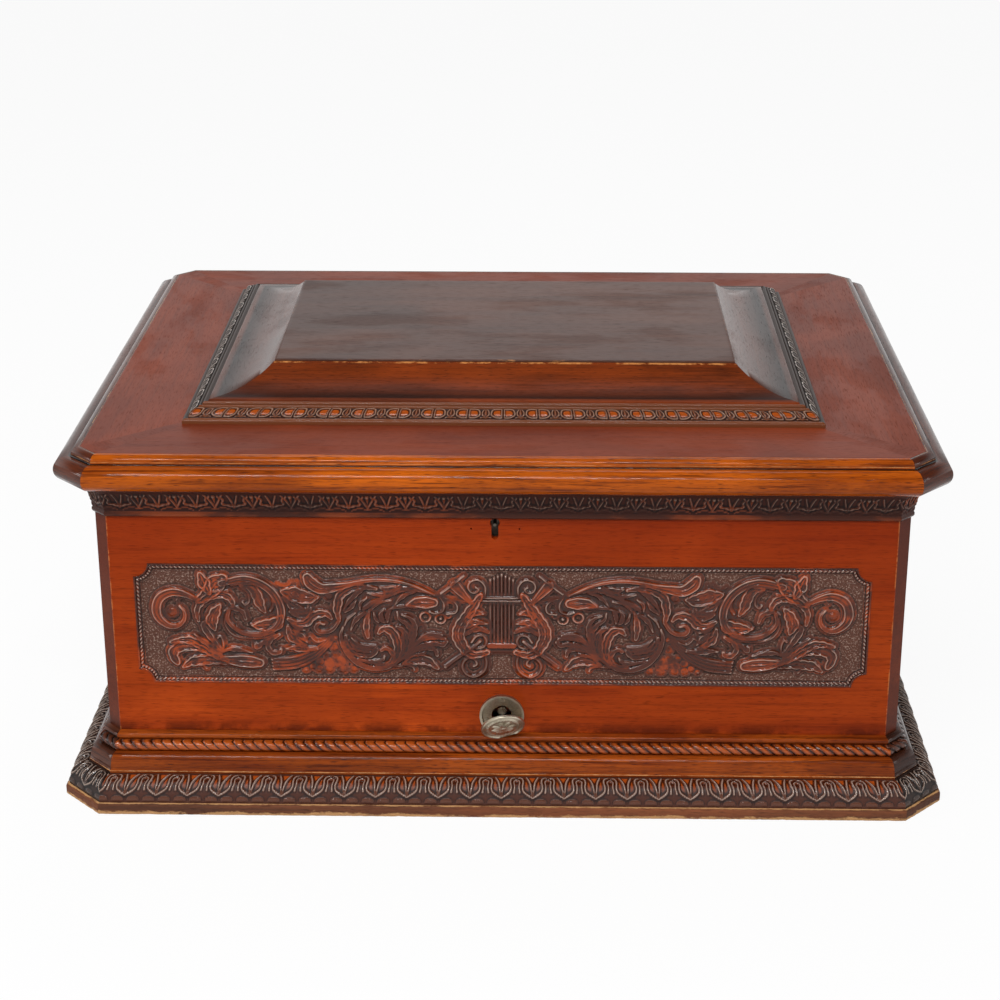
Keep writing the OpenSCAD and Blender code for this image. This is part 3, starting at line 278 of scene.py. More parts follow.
def make_tarnish_group() -> bpy.types.NodeTree:
    """Makes tarnish clouds, spots and hairline scratches for metal.

    Returns:
        The node group.
    """
    graph, given, sink = new_group(
        "Metal age", [("Vector", VECTOR, None)],
        [("Clouds", FLOAT), ("Spots", FLOAT), ("Scratches", FLOAT)])
    vector = given["Vector"]
    clouds = graph.noise(vector, 55.0, 5.0, 0.62, 0.6)
    spots = graph.noise(vector, 620.0, 2.0, 0.6)
    lines = graph.noise(graph.scaled(vector, (60.0, 2600.0, 900.0)), 1.0, 2.0, 0.5, 0.3)
    graph.feed(sink.inputs["Clouds"], graph.band(clouds, 0.4, 0.66))
    graph.feed(sink.inputs["Spots"], graph.band(spots, 0.6, 0.7))
    graph.feed(sink.inputs["Scratches"], graph.band(lines, 0.6, 0.7))
    return graph.tree


GRAIN = make_grain_group()
WEAR = make_wear_group()
TARNISH = make_tarnish_group()


class GrainWay(Enum):
    """Where the grain of a wooden surface runs."""

    MESH = "mesh"
    ALONG_X = "x"
    ALONG_Y = "y"


def group_node(graph: Graph, tree: bpy.types.NodeTree, **values: object) -> bpy.types.Node:
    """Places a node group.

    Args:
        graph: Where the group goes.
        tree: The group.
        values: Inputs by name, with underscores for spaces.

    Returns:
        The group node.
    """
    new = graph.node("Group", node_tree=tree)
    for name, value in values.items():
        graph.feed(new.inputs[name.replace("_", " ")], value)
    return new


def surface(name: str, roughness: float, metallic: float = 0.0,
            specular: float = 0.5) -> tuple[bpy.types.Material, Graph, bpy.types.Node]:
    """Makes a material with a Principled shader.

    Args:
        name: The material's name.
        roughness: Plain roughness, where no node sets it.
        metallic: 1 for metal.
        specular: Specular level.

    Returns:
        The material, its graph and the shader.
    """
    material = bpy.data.materials.new(name)
    material.use_nodes = True
    shader = material.node_tree.nodes["Principled BSDF"]
    shader.inputs["Roughness"].default_value = roughness
    shader.inputs["Metallic"].default_value = metallic
    shader.inputs["Specular IOR Level"].default_value = specular
    return material, Graph(material.node_tree), shader


def grain_vector(graph: Graph, way: GrainWay) -> Socket:
    """Gives a vector in metres whose X runs along the grain.

    Args:
        graph: The material's graph.
        way: Where the grain runs.

    Returns:
        The vector socket.
    """
    if way is GrainWay.MESH:
        return graph.node("Attribute", attribute_name="grain").outputs["Vector"]
    place = graph.node("TexCoord").outputs["Object"]
    if way is GrainWay.ALONG_X:
        return place
    turn = graph.node("Mapping")
    graph.feed(turn.inputs["Vector"], place)
    turn.inputs["Rotation"].default_value = (0.0, 0.0, math.radians(90))
    return turn.outputs[0]


@dataclass(frozen=True)
class PolishedWood:
    """Mahogany with old French polish."""

    name: str
    dark: Colour
    light: Colour
    worn: Colour = (0.5, 0.17, 0.045)
    way: GrainWay = GrainWay.MESH
    rough: float = 0.32
    specular: float = 0.1
    pore: float = 0.45
    wear: float = 0.45
    bump: float = 0.12
    streak: float = 0.25
    # Band of dirt at a wall's foot, low and high; when set, the wall also gets painted shade
    # towards the lid and on its cut corners
    shade_and_foot_grime: Point | None = None

    def edges(self, graph: Graph) -> Socket:
        """Finds the edges that hands and cloths reach.

        Args:
            graph: The material's graph.

        Returns:
            1 at an edge, and below 0 where shade is painted, in a groove or towards a hollow's
            foot.
        """
        made = graph.stored("edge")
        if self.way is GrainWay.MESH:
            return made
        place = graph.axes(graph.node("TexCoord").outputs["Object"])
        axis, arris = (0, ARRIS_X) if self.way is GrainWay.ALONG_X else (1, ARRIS_Y)
        across = graph.math("ABSOLUTE", place[axis])
        away = graph.math("ABSOLUTE", graph.math("SUBTRACT", across, arris * MM))
        return graph.math("MAXIMUM", made, graph.band(away, 1.3 * MM, 0.2 * MM))

    def shaded_and_grimed(self, graph: Graph, colour: Socket) -> Socket:
        """Paints shade on a wall towards the lid and on its cut corners, and darkens its foot
        with dirt.

        Args:
            graph: The material's graph.
            colour: The clean wall's colour.

        Returns:
            The wall's colour.
        """
        place = graph.node("TexCoord").outputs["Object"]
        along, _, up = graph.axes(place)
        # Painted shade: the wall grows darker and deeper red towards the lid.
        tall = graph.band(up, SHADE_FROM * MM, SHADE_TO * MM)
        colour = graph.over(tall, 0.5, colour,
                            (0.55 * self.dark[0], 0.2 * self.dark[1], 0.0))
        low, high = self.shade_and_foot_grime
        foot = graph.band(up, high * MM, low * MM)
        ragged = graph.band(graph.noise(place, 30.0, 5.0, 0.65), 0.4, 0.6)
        colour = graph.over(graph.math("MULTIPLY", foot, ragged), 0.8, colour,
                            times(self.dark, 0.25))
        # Painted shade on the cut corners.
        cut = graph.band(graph.math("ABSOLUTE", along), CORNER_FROM * MM, CORNER_TO * MM)
        return graph.over(cut, 0.7, colour, CORNER_SHADE)

    def build(self) -> bpy.types.Material:
        """Makes the material.

        Returns:
            The material.
        """
        material, graph, shader = surface(self.name, self.rough, specular=self.specular)
        vector = grain_vector(graph, self.way)
        grain = group_node(graph, GRAIN, Vector=vector, Pore_depth=self.pore)
        edges = self.edges(graph)
        wear = group_node(graph, WEAR, Vector=vector, Edge=edges, Amount=self.wear)
        colour = graph.mix(grain.outputs["Tone"], self.dark, self.light)
        colour = graph.over(grain.outputs["Figure"], 0.45, colour, self.light)
        broad = graph.band(graph.noise(vector, 5.0, 3.0, 0.5, 0.8), 0.42, 0.62)
        colour = graph.over(broad, 0.4, colour, times(self.dark, 0.62))
        colour = graph.over(grain.outputs["Streaks"], self.streak, colour,
                            times(self.dark, 0.4))
        colour = graph.over(grain.outputs["Pores"], self.pore, colour, times(self.dark, 0.3))
        # Walls only: painted shade towards the lid and on the cut corners, and dirt at the foot.
        if self.shade_and_foot_grime:
            colour = self.shaded_and_grimed(graph, colour)
        # Painted shade: where the edge value is below 0, in a groove or at the cavetto's foot,
        # the colour goes nearly black.
        if self.way is GrainWay.MESH:
            groove = graph.band(edges, -0.25, -0.9)
            colour = graph.over(groove, 0.92, colour, times(self.dark, 0.04))
        colour = graph.over(wear.outputs["Wear"], 0.75, colour, self.worn)
        graph.feed(shader.inputs["Base Color"], colour)
        smudge = graph.math("MULTIPLY", wear.outputs["Patches"], 0.1)
        uneven = graph.math("MULTIPLY", grain.outputs["Pores"], 0.2)
        gloss = graph.math("ADD", graph.math("ADD", smudge, uneven), self.rough)
        graph.feed(shader.inputs["Roughness"], gloss)
        graph.bump(shader, grain.outputs["Height"], self.bump, 0.0004)
        return material


@dataclass(frozen=True)
class CarvedWood:
    """Carved and stained wood: dark hollows, browned body and worn places; painted shade darkens
    the creases, painted highlights lie on the crests and as glints on a punched ground, and on
    the leaf ovolo the warm colour is painted light.
    """

    name: str
    hollow: Colour
    body: Colour
    # The pale colour painted on crests as highlights, and as glints on a punched ground
    crest: Colour
    rubbed: Colour
    rub_and_light_low: bool = False
    rub: float = 0.8
    matt: float = 0.6
    shine: float = 0.3
    specular: float = 0.4
    # Share of the painted highlight laid on the crests
    chalk: float = 0.6
    punched: bool = False

    def build(self) -> bpy.types.Material:
        """Makes the material.

        Returns:
            The material.
        """
        material, graph, shader = surface(self.name, self.matt, specular=self.specular)
        vector = grain_vector(graph, GrainWay.MESH)
        relief, crest, warm = (graph.stored(name) for name in ("relief", "crest", "warm"))
        grain = group_node(graph, GRAIN, Vector=vector, Pore_depth=0.4)
        wear = group_node(graph, WEAR, Vector=vector, Edge=relief, Amount=0.3)
        raised = graph.band(relief, 0.05, 0.45)
        ground = graph.math("SUBTRACT", 1.0, raised)
        colour = graph.mix(raised, self.hollow, self.body)
        colour = graph.over(grain.outputs["Tone"], 0.4, colour, times(self.body, 0.5))
        # Warm colour on the low places: on the leaf ovolo it is painted light, on the carved trim
        # worn polish on its lobes.
        if self.rub_and_light_low:
            placed = graph.math("MULTIPLY", ground, warm)
            smooth = graph.math("MAXIMUM", raised, warm)
        else:
            patches = graph.math("MAXIMUM", wear.outputs["Patches"], warm)
            placed = graph.math("MULTIPLY", raised, patches)
            smooth = raised
        height, strength = grain.outputs["Height"], 0.3
        if self.punched:
            worn = graph.band(graph.noise(vector, 75.0, 3.0, 0.6), 0.36, 0.58)
            placed = graph.math("MULTIPLY", placed, worn)
        # Lays the warm colour: worn polish, and on the leaf ovolo painted light.
        colour = graph.over(placed, self.rub, colour, self.rubbed)
        if self.punched:
            # Painted glints: pale specks of the highlight colour on the punched ground.
            grit = graph.noise(vector, 640.0, 2.0, 0.6)
            glint_specks = graph.math("MULTIPLY", graph.band(grit, 0.52, 0.66), ground)
            colour = graph.over(glint_specks, 0.4, colour, self.crest)
            pits = graph.math("MULTIPLY", graph.band(grit, 0.36, 0.64), ground)
            height = graph.math("ADD", pits, graph.math("MULTIPLY", height, 0.3))
            strength = 0.9
        # Painted shade in the creases beside the strokes, which also stands for old wax there.
        colour = graph.over(graph.band(crest, 0.49, 0.3), 0.92, colour,
                            times(self.hollow, 0.22))
        # Painted highlight: the crests get a pale colour that stands in for the light they catch.
        colour = graph.over(graph.band(crest, 0.7, 0.9), self.chalk, colour, self.crest)
        graph.feed(shader.inputs["Base Color"], colour)
        glossy = graph.math("MULTIPLY", smooth, self.matt - self.shine)
        graph.feed(shader.inputs["Roughness"], graph.math("SUBTRACT", self.matt, glossy))
        graph.bump(shader, height, strength, 0.0006)
        return material


@dataclass(frozen=True)
class RoughBoard:
    """The plinth board: stained, knocked about, with bare wood at its edges."""

    name: str = "Worn plinth board"
    stain: Colour = (0.09, 0.035, 0.02)
    red: Colour = (0.24, 0.075, 0.03)
    bare: Colour = (0.6, 0.33, 0.14)

    def build(self) -> bpy.types.Material:
        """Makes the material.

        Returns:
            The material.
        """
        material, graph, shader = surface(self.name, 0.62, specular=0.15)
        vector = grain_vector(graph, GrainWay.MESH)
        grain = group_node(graph, GRAIN, Vector=vector, Pore_depth=0.8)
        wear = group_node(graph, WEAR, Vector=vector, Edge=graph.stored("edge"), Amount=0.52)
        colour = graph.mix(grain.outputs["Tone"], self.stain, self.red)
        colour = graph.over(grain.outputs["Pores"], 0.6, colour, times(self.stain, 0.3))
        colour = graph.over(wear.outputs["Wear"], 0.85, colour, self.bare)
        graph.feed(shader.inputs["Base Color"], colour)
        height = graph.math("SUBTRACT", grain.outputs["Height"], wear.outputs["Wear"])
        graph.bump(shader, height, 0.6, 0.0008)
        return material


@dataclass(frozen=True)
class AgedMetal:
    """Metal with tarnish, spots and fine scratches."""

    name: str
    bright: Colour
    dull: Colour
    rough: float = 0.3
    spots: float = 0.25
    scratch: float = 0.3
    metallic: float = 1.0
    cast: bool = False

    def build(self) -> bpy.types.Material:
        """Makes the material.

        Returns:
            The material.
        """
        material, graph, shader = surface(self.name, self.rough, self.metallic)
        place = graph.node("TexCoord").outputs["Object"]
        age = group_node(graph, TARNISH, Vector=place)
        edge = graph.band(graph.node("NewGeometry").outputs["Pointiness"], 0.5, 0.56)
        colour = graph.mix(age.outputs["Clouds"], self.bright, self.dull)
        colour = graph.over(age.outputs["Spots"], self.spots, colour, times(self.dull, 0.35))
        colour = graph.over(edge, 0.5, colour, self.bright)
        graph.feed(shader.inputs["Base Color"], colour)
        dulled = graph.math("ADD", graph.math("MULTIPLY", age.outputs["Clouds"], 0.14),
                            graph.math("MULTIPLY", age.outputs["Scratches"], 0.12))
        graph.feed(shader.inputs["Roughness"], graph.math("ADD", dulled, self.rough))
        if self.cast:
            graph.bump(shader, graph.noise(place, 900.0, 3.0, 0.6), 0.5, 0.0003)
        else:
            graph.bump(shader, age.outputs["Scratches"], self.scratch, 0.00005)
        return material


# Mesh helpers

def as_object(name: str, points: np.ndarray, faces: np.ndarray | list[tuple[int, ...]],
              angle: float = 40.0) -> bpy.types.Object:
    """Makes a mesh object.

    Args:
        name: The piece's name.
        points: Corners in millimetres, one row each.
        faces: Corner numbers of each face.
        angle: Edges sharper than this many degrees stay sharp.

    Returns:
        The new object.
    """
    mesh = bpy.data.meshes.new(name)
    rows = faces.tolist() if isinstance(faces, np.ndarray) else faces
    mesh.from_pydata((points * MM).tolist(), [], rows)
    mesh.update()
    mesh.shade_smooth()
    mesh.set_sharp_from_angle(angle=math.radians(angle))
    made = bpy.data.objects.new(name, mesh)
    bpy.context.scene.collection.objects.link(made)
    return made


def add_values(piece: bpy.types.Object, name: str, values: np.ndarray) -> None:
    """Stores one number for each point of a mesh.

    Args:
        piece: The mesh object.
        name: The attribute's name.
        values: The numbers.
    """
    layer = piece.data.attributes.new(name, "FLOAT", "POINT")
    layer.data.foreach_set("value", values.astype(np.float32).ravel())


def add_grain(piece: bpy.types.Object, vectors: np.ndarray) -> None:
    """Stores a grain vector for each corner of each face, in metres.

    Args:
        piece: The mesh object.
        vectors: The vectors, one row for each face corner.
    """
    layer = piece.data.attributes.new("grain", "FLOAT_VECTOR", "CORNER")
    layer.data.foreach_set("vector", vectors.astype(np.float32).ravel())


def arc(centre: Point, radii: Point, start: float, end: float, steps: int) -> list[Point]:
    """Points of an elliptic arc in a moulding's section.

    Args:
        centre: Its centre, as (outward, up).
        radii: Its two radii.
        start: First angle in degrees.
        end: Last angle in degrees.
        steps: Number of steps.

    Returns:
        The points.
    """
    return [(centre[0] + radii[0] * math.cos(math.radians(start + (end - start) * i / steps)),
             centre[1] + radii[1] * math.sin(math.radians(start + (end - start) * i / steps)))
            for i in range(steps + 1)]


def smooth_path(points: Sequence[Point], spacing: float = 0.9) -> np.ndarray:
    """Draws a Catmull-Rom curve through points.

    Args:
        points: The points that the curve passes.
        spacing: Distance between the curve's points.

    Returns:
        Rows of x, z and the place along the points, from 0 to their number less one.
    """
    given = np.array(points, float)
    padded = np.vstack([2 * given[0] - given[1], given, 2 * given[-1] - given[-2]])
    rows = []
    for i in range(len(given) - 1):
        a, b, c, d = padded[i:i + 4]
        steps = max(2, int(np.linalg.norm(c - b) / spacing))
        for t in np.arange(steps) / steps:
            p = 0.5 * (2 * b + (c - a) * t + (2 * a - 5 * b + 4 * c - d) * t ** 2
                       + (3 * b - a - 3 * c + d) * t ** 3)
            rows.append((p[0], p[1], i + t))
    rows.append((given[-1][0], given[-1][1], len(given) - 1))
    return np.array(rows)


class Rib(Enum):
    """How a carved stroke rises from its edges."""

    ROUND = "round"
    LEAF = "leaf"
    BAND = "band"


def rise(form: Rib, q: np.ndarray, radius: np.ndarray) -> np.ndarray:
    """Height across a stroke.

    Args:
        form: The kind of section.
        q: 0 in the middle of the stroke and 1 at its edge.
        radius: Half the stroke's width, in millimetres.

    Returns:
        Heights from 0 to 1.
    """
    q = np.clip(q, 0, 1)
    side = np.sqrt(1 - q ** 2)
    if form is Rib.ROUND:
        return side
    inner = (1 - q) * radius
    rim = np.sqrt(1 - (1 - np.clip(inner / RIM_WIDTH, 0, 1)) ** 2)
    scoop = np.clip((inner - SCOOP_FROM) / SCOOP_WIDTH, 0, 1)
    vein = np.clip(1 - q * radius / 0.7, 0, 1) * (radius > 2.4)
    deep = 0.5 if form is Rib.LEAF else 0.35
    ripple = np.clip((radius - 2.6) / 1.4, 0, 1) * np.clip((inner - 1.0) / 0.8, 0, 1)
    hollow = (rim - deep * scoop * scoop * (3 - 2 * scoop) + 0.3 * vein
              + 0.07 * ripple * np.cos(2 * math.pi * (inner - SCOOP_FROM) / FLUTE_PITCH))
    return np.where(radius < NARROW, side, hollow)


def softened(relief: np.ndarray, passes: int) -> np.ndarray:
    """Rounds a height field a little, several times over.

    Args:
        relief: The heights.
        passes: How many times.

    Returns:
        The rounded heights.
    """
    for _ in range(passes):
        padded = np.pad(relief, 1, mode="edge")
        relief = (padded[1:-1, 1:-1] * 4 + padded[:-2, 1:-1] + padded[2:, 1:-1]
                  + padded[1:-1, :-2] + padded[1:-1, 2:]) / 8
    return relief


class ReliefGrid:
    """A height field that strokes are carved into."""

    def __init__(self, low: Point, high: Point, step: Point) -> None:
        """Makes a flat grid.

        Args:
            low: Lower left corner.
            high: Upper right corner.
            step: Spacing across and upwards.
        """
        self.x, self.z = (np.linspace(a, b, int(round((b - a) / s)) + 1)
                          for a, b, s in zip(low, high, step))
        self.height = np.zeros((len(self.z), len(self.x)))
        self.warm = np.zeros_like(self.height)

    def stroke(self, points: Sequence[Point], widths: Sequence[float] | float,
               form: Rib = Rib.ROUND, top: float = 2.4, warm: float = 0.0,
               bed: float = 0.0) -> None:
        """Carves one stroke; where strokes meet, the higher one stays.

        Args:
            points: The stroke's middle line.
            widths: Its width, or widths spread evenly along it.
            form: Its section.
            top: Its greatest height.
            warm: How much of the polish is rubbed through to red, 0 to 1.
            bed: How far a low bed reaches round it; beds that meet make one mass.
        """
        path = smooth_path(points)
        spread = np.atleast_1d(np.array(widths, float))
        places = np.linspace(0, len(points) - 1, len(spread))
        half = np.interp(path[:, 2], places, spread) / 2
        if form is Rib.LEAF:
            lobes = np.abs(np.sin(np.arange(len(path)) * math.pi / LOBE_STEPS))
            half = half * np.where(half > 2.2, 0.92 + 0.2 * lobes, 1.0)
        pad = half.max() + bed + 0.5
        i0, i1 = np.searchsorted(self.x, (path[:, 0].min() - pad, path[:, 0].max() + pad))
        j0, j1 = np.searchsorted(self.z, (path[:, 1].min() - pad, path[:, 1].max() + pad))
        if i1 <= i0 or j1 <= j0:
            return
        q, radius = self.nearest(path, half, (slice(j0, j1), slice(i0, i1)))
        full = top * np.clip(radius / 1.6, 0.35, 1.0) ** 0.6
        made = full * rise(form, q, radius)
        window = self.height[j0:j1, i0:i1]
        if bed:
            outside = np.clip((q - 1) * radius / bed, 0, 1)
            made = np.maximum(made, 0.42 * top * np.sqrt(1 - outside ** 2))
            warm = np.where(q < 1, warm, 0.25 * warm)
        self.warm[j0:j1, i0:i1] = np.where(made > window, warm, self.warm[j0:j1, i0:i1])
        self.height[j0:j1, i0:i1] = np.maximum(window, made)

    def nearest(self, path: np.ndarray, half: np.ndarray,
                window: tuple[slice, slice]) -> tuple[np.ndarray, np.ndarray]:
        """Measures how far each place of a window is from a path.

        Args:
            path: The path's points.
            half: Half its width at each point.
            window: The rows and columns of the window.

        Returns:
            The distance as a share of half the width, and half the width there.
        """
        gx, gz = np.meshgrid(self.x[window[1]], self.z[window[0]])
        best_q = np.full(gx.shape, 9.0)
        best_r = np.full(gx.shape, 99.0)
        for n in range(len(path) - 1):
            ax, az = path[n, :2]
            bx, bz = path[n + 1, :2]
            long2 = (bx - ax) ** 2 + (bz - az) ** 2 + 1e-9
            t = np.clip(((gx - ax) * (bx - ax) + (gz - az) * (bz - az)) / long2, 0, 1)
            r = half[n] + (half[n + 1] - half[n]) * t
            q = np.hypot(gx - ax - t * (bx - ax), gz - az - t * (bz - az)) / r
            nearer = q < best_q
            best_q = np.where(nearer, q, best_q)
            best_r = np.where(nearer, r, best_r)
        return best_q, best_r

    def ball(self, x: float, z: float, radius: float, top: float = 2.2,
             warm: float = 0.0, bed: float = 0.0) -> None:
        """Carves a round lump."""
        self.stroke([(x - 0.01, z), (x + 0.01, z)], 2 * radius, Rib.ROUND, top, warm, bed)

    def loop(self, x: float, z: float, radius: float, width: float, top: float,
             warm: float) -> None:
        """Carves a ring.

        Args:
            x: Its middle across.
            z: Its middle upwards.
            radius: Its radius.
            width: The width of its line.
            top: Its height.
            warm: How far it is rubbed red.
        """
        turn = [(x + radius * math.cos(a), z + radius * math.sin(a))
                for a in np.linspace(0, 2 * math.pi, 13)]
        self.stroke(turn, width, Rib.ROUND, top, warm)


class Repeat:
    """A carved pattern that repeats along a moulding."""

    def __init__(self, pitch: float, tall: float, top: float) -> None:
        """Starts a plain unit.

        Args:
            pitch: Length of one unit.
            tall: Length of the section that the carving covers.
            top: Height of the carving.
        """
        self.pitch, self.tall, self.top = pitch, tall, top
        self.grid = ReliefGrid((-pitch / 2, 0), (pitch / 2, tall), (0.25, 0.25))

    def line(self, points: Sequence[Point], widths: Sequence[float] | float,
             top: float = 1.0, mirror: bool = True, warm: float = 0.0) -> None:
        """Carves a round stroke, its mirror image, and both again in the next units.

        Args:
            points: The stroke, as (along, up).
            widths: Its widths.
            top: Its height, as a share of the pattern's.
            mirror: True for a mirror image about the unit's middle.
            warm: How much it is rubbed.
        """
        for side in ((1, -1) if mirror else (1,)):
            for shift in (-self.pitch, 0.0, self.pitch):
                self.grid.stroke([(side * u + shift, v) for u, v in points], widths,
                                 Rib.ROUND, top * self.top, warm)

    def height(self, u: np.ndarray, v: np.ndarray) -> tuple[np.ndarray, np.ndarray]:
        """Looks the pattern up.

        Args:
            u: Places along the moulding.
            v: Places up the carved part of the section.

        Returns:
            Heights in millimetres, and the rubbed share.
        """
        grid = self.grid
        wrapped = (u + self.pitch / 2) % self.pitch
        i = np.clip(wrapped / self.pitch * (len(grid.x) - 1), 0, len(grid.x) - 1.001)
        j = np.clip(v / self.tall * (len(grid.z) - 1), 0, len(grid.z) - 1.001)
        i0, j0 = i.astype(int), j.astype(int)
        fi, fj = i - i0, j - j0
        found = []
        for layer in (grid.height, grid.warm):
            found.append((1 - fj) * ((1 - fi) * layer[j0, i0] + fi * layer[j0, i0 + 1])
                         + fj * ((1 - fi) * layer[j0 + 1, i0] + fi * layer[j0 + 1, i0 + 1]))
        return found[0], found[1]


@dataclass(frozen=True)
class Outline:
    """A rectangle with its corners cut, seen from above."""

    half_width: float
    half_depth: float
    cut: float = 0.0
    middle_y: float = 0.0

    def corners(self, out: float) -> np.ndarray:
        """Finds the corners of the outline moved outwards.

        Args:
            out: How far it moves.

        Returns:
            The corners, front left first, counterclockwise.
        """
        w, d = self.half_width + out, self.half_depth + out
        if self.cut == 0:
            plan = [(-w, -d), (w, -d), (w, d), (-w, d)]
        else:
            c = self.cut + out * (2 - math.sqrt(2))
            plan = [(-w + c, -d), (w - c, -d), (w, -d + c), (w, d - c),
                    (w - c, d), (-w + c, d), (-w, d - c), (-w, -d + c)]
        return np.array(plan) + (0.0, self.middle_y)


@dataclass
class Course:
    """One row of a moulding's section; carved is its place up the carving, if it has any."""

    out: float
    up: float
    carved: float = -1.0
    outline: Outline | None = None
    edge: float = 0.0


def plain(points: Iterable[Point], edge: float = 0.0) -> list[Course]:
    """Makes plain rows of a section, all as worn as edge says; an edge below 0 paints shade
    instead, as in a groove.
    """
    return [Course(o, z, edge=edge) for o, z in points]


def carved(points: Sequence[Point]) -> list[Course]:
    """Makes rows that carry carving; each one knows how far up the carved part it is."""
    far = np.concatenate([[0], np.cumsum(np.hypot(*np.diff(np.array(points), axis=0).T))])
    return [Course(o, z, float(v)) for (o, z), v in zip(points, far)]


Carver = Callable[[np.ndarray, np.ndarray], tuple[np.ndarray, np.ndarray]]


def blurred(values: np.ndarray, across: int, up: int) -> np.ndarray:
    """Averages a field over a box; the first axis wraps round.

    Args:
        values: The field.
        across: How many places the box reaches to each side, round the outline.
        up: How many it reaches up and down.

    Returns:
        The averages.
    """
    total = sum(np.roll(values, k, axis=0) for k in range(-across, across + 1))
    padded = np.pad(total, ((0, 0), (up, up)), mode="edge")
    size = values.shape[1]
    return sum(padded[:, k:k + size] for k in range(2 * up + 1)) / (
        (2 * across + 1) * (2 * up + 1))


def length_of(points: Sequence[Point]) -> float:
    """Adds up the distances between points."""
    return sum(math.dist(a, b) for a, b in zip(points, points[1:]))


class Stations:
    """Where a moulding's section stands along its outline."""

    def __init__(self, corners: np.ndarray, steps: Sequence[float]) -> None:
        """Spreads the stations.

        Args:
            corners: The corners of the widest outline.
            steps: Distance between stations on the front, right, back and left; 0 for one
                stretch from corner to corner.
        """
        side, t, length = [], [], []
        sides = len(corners)
        for k in range(sides):
            long = float(np.linalg.norm(corners[(k + 1) % sides] - corners[k]))
            spacing = steps[k * 4 // sides]
            count = max(1, int(round(long / spacing))) if spacing else 1
            side += [k] * count
            t += list(np.arange(count) / count)
            length += [long] * count
        self.side, self.t, self.length = np.array(side), np.array(t), np.array(length)
        self.count = len(side)

    def carve(self, carver: Carver | None, place: np.ndarray,
              plain_relief: float) -> list[np.ndarray]:
        """Carves the rows that carry a pattern.

        Args:
            carver: Gives the carving's height and its warm share: worn polish, and on the leaf
                ovolo painted light.
            place: How far up the carved part each row is, or less than 0.
            plain_relief: The relief value of the rows without carving.

        Returns:
            For each station and row: height, relief, crest, and warm share.
        """
        shape = (self.count, len(place))
        depth, relief = np.zeros(shape), np.full(shape, plain_relief)
        crest, warm = np.full(shape, 0.5), np.zeros(shape)
        if carver:
            on = place >= 0
            along = (self.t - 0.5) * self.length
            v = np.broadcast_to(place[on], (self.count, int(on.sum())))
            u = np.broadcast_to(along[:, None], v.shape)
            depth[:, on], warm[:, on] = carver(u, v)
            corner = np.where(self.t == 0)[0]
            previous = np.roll(self.length, 1)[corner] * 0.5
            ends = carver(np.broadcast_to(previous[:, None], v[corner].shape), v[corner])[0]
            depth[np.ix_(corner, on)] = 0.5 * (depth[np.ix_(corner, on)] + ends)
            cut = depth[:, on]
            span = max(float(cut.max() - cut.min()), 1e-6)
            relief[:, on] = (cut - cut.min()) / span
            crest[:, on] = 0.5 + (cut - blurred(cut, 3, 2)) / span
        return [depth, relief, crest.clip(0, 1), warm]

    def grain(self, corners: np.ndarray, up: np.ndarray) -> np.ndarray:
        """Works out a grain vector for each corner of each face.

        Args:
            corners: The outline's corners at each row.
            up: The height of each row.

        Returns:
            The vectors in millimetres, one row for each face corner.
        """
        side, t, length = self.side, self.t, self.length
        middle = (corners + np.roll(corners, -1, axis=1)) / 2
        run = np.linalg.norm(np.diff(middle, axis=0), axis=2)
        rises = np.hypot(run, np.diff(up)[:, None])
        far = np.vstack([np.zeros(corners.shape[1]), np.cumsum(rises, axis=0)])
        top = np.vstack([far[1:], far[-1:] + 5])
        shift = np.arange(corners.shape[1]) * BOARD_SHIFT
        t_end = np.roll(t, -1)
        t_end[t_end == 0] = 1.0
        grain = np.empty((self.count, len(up), 4, 3))
        grain[:, :, [0, 3], 0] = ((t - 0.5) * length + shift[side])[:, None, None]
        grain[:, :, [1, 2], 0] = ((t_end - 0.5) * length + shift[side])[:, None, None]
        grain[:, :, [0, 1], 1] = far.T[side][..., None]
        grain[:, :, [2, 3], 1] = top.T[side][..., None]
        grain[..., 2] = (shift[side] * 0.77)[:, None, None]
        return grain.reshape(-1, 3)


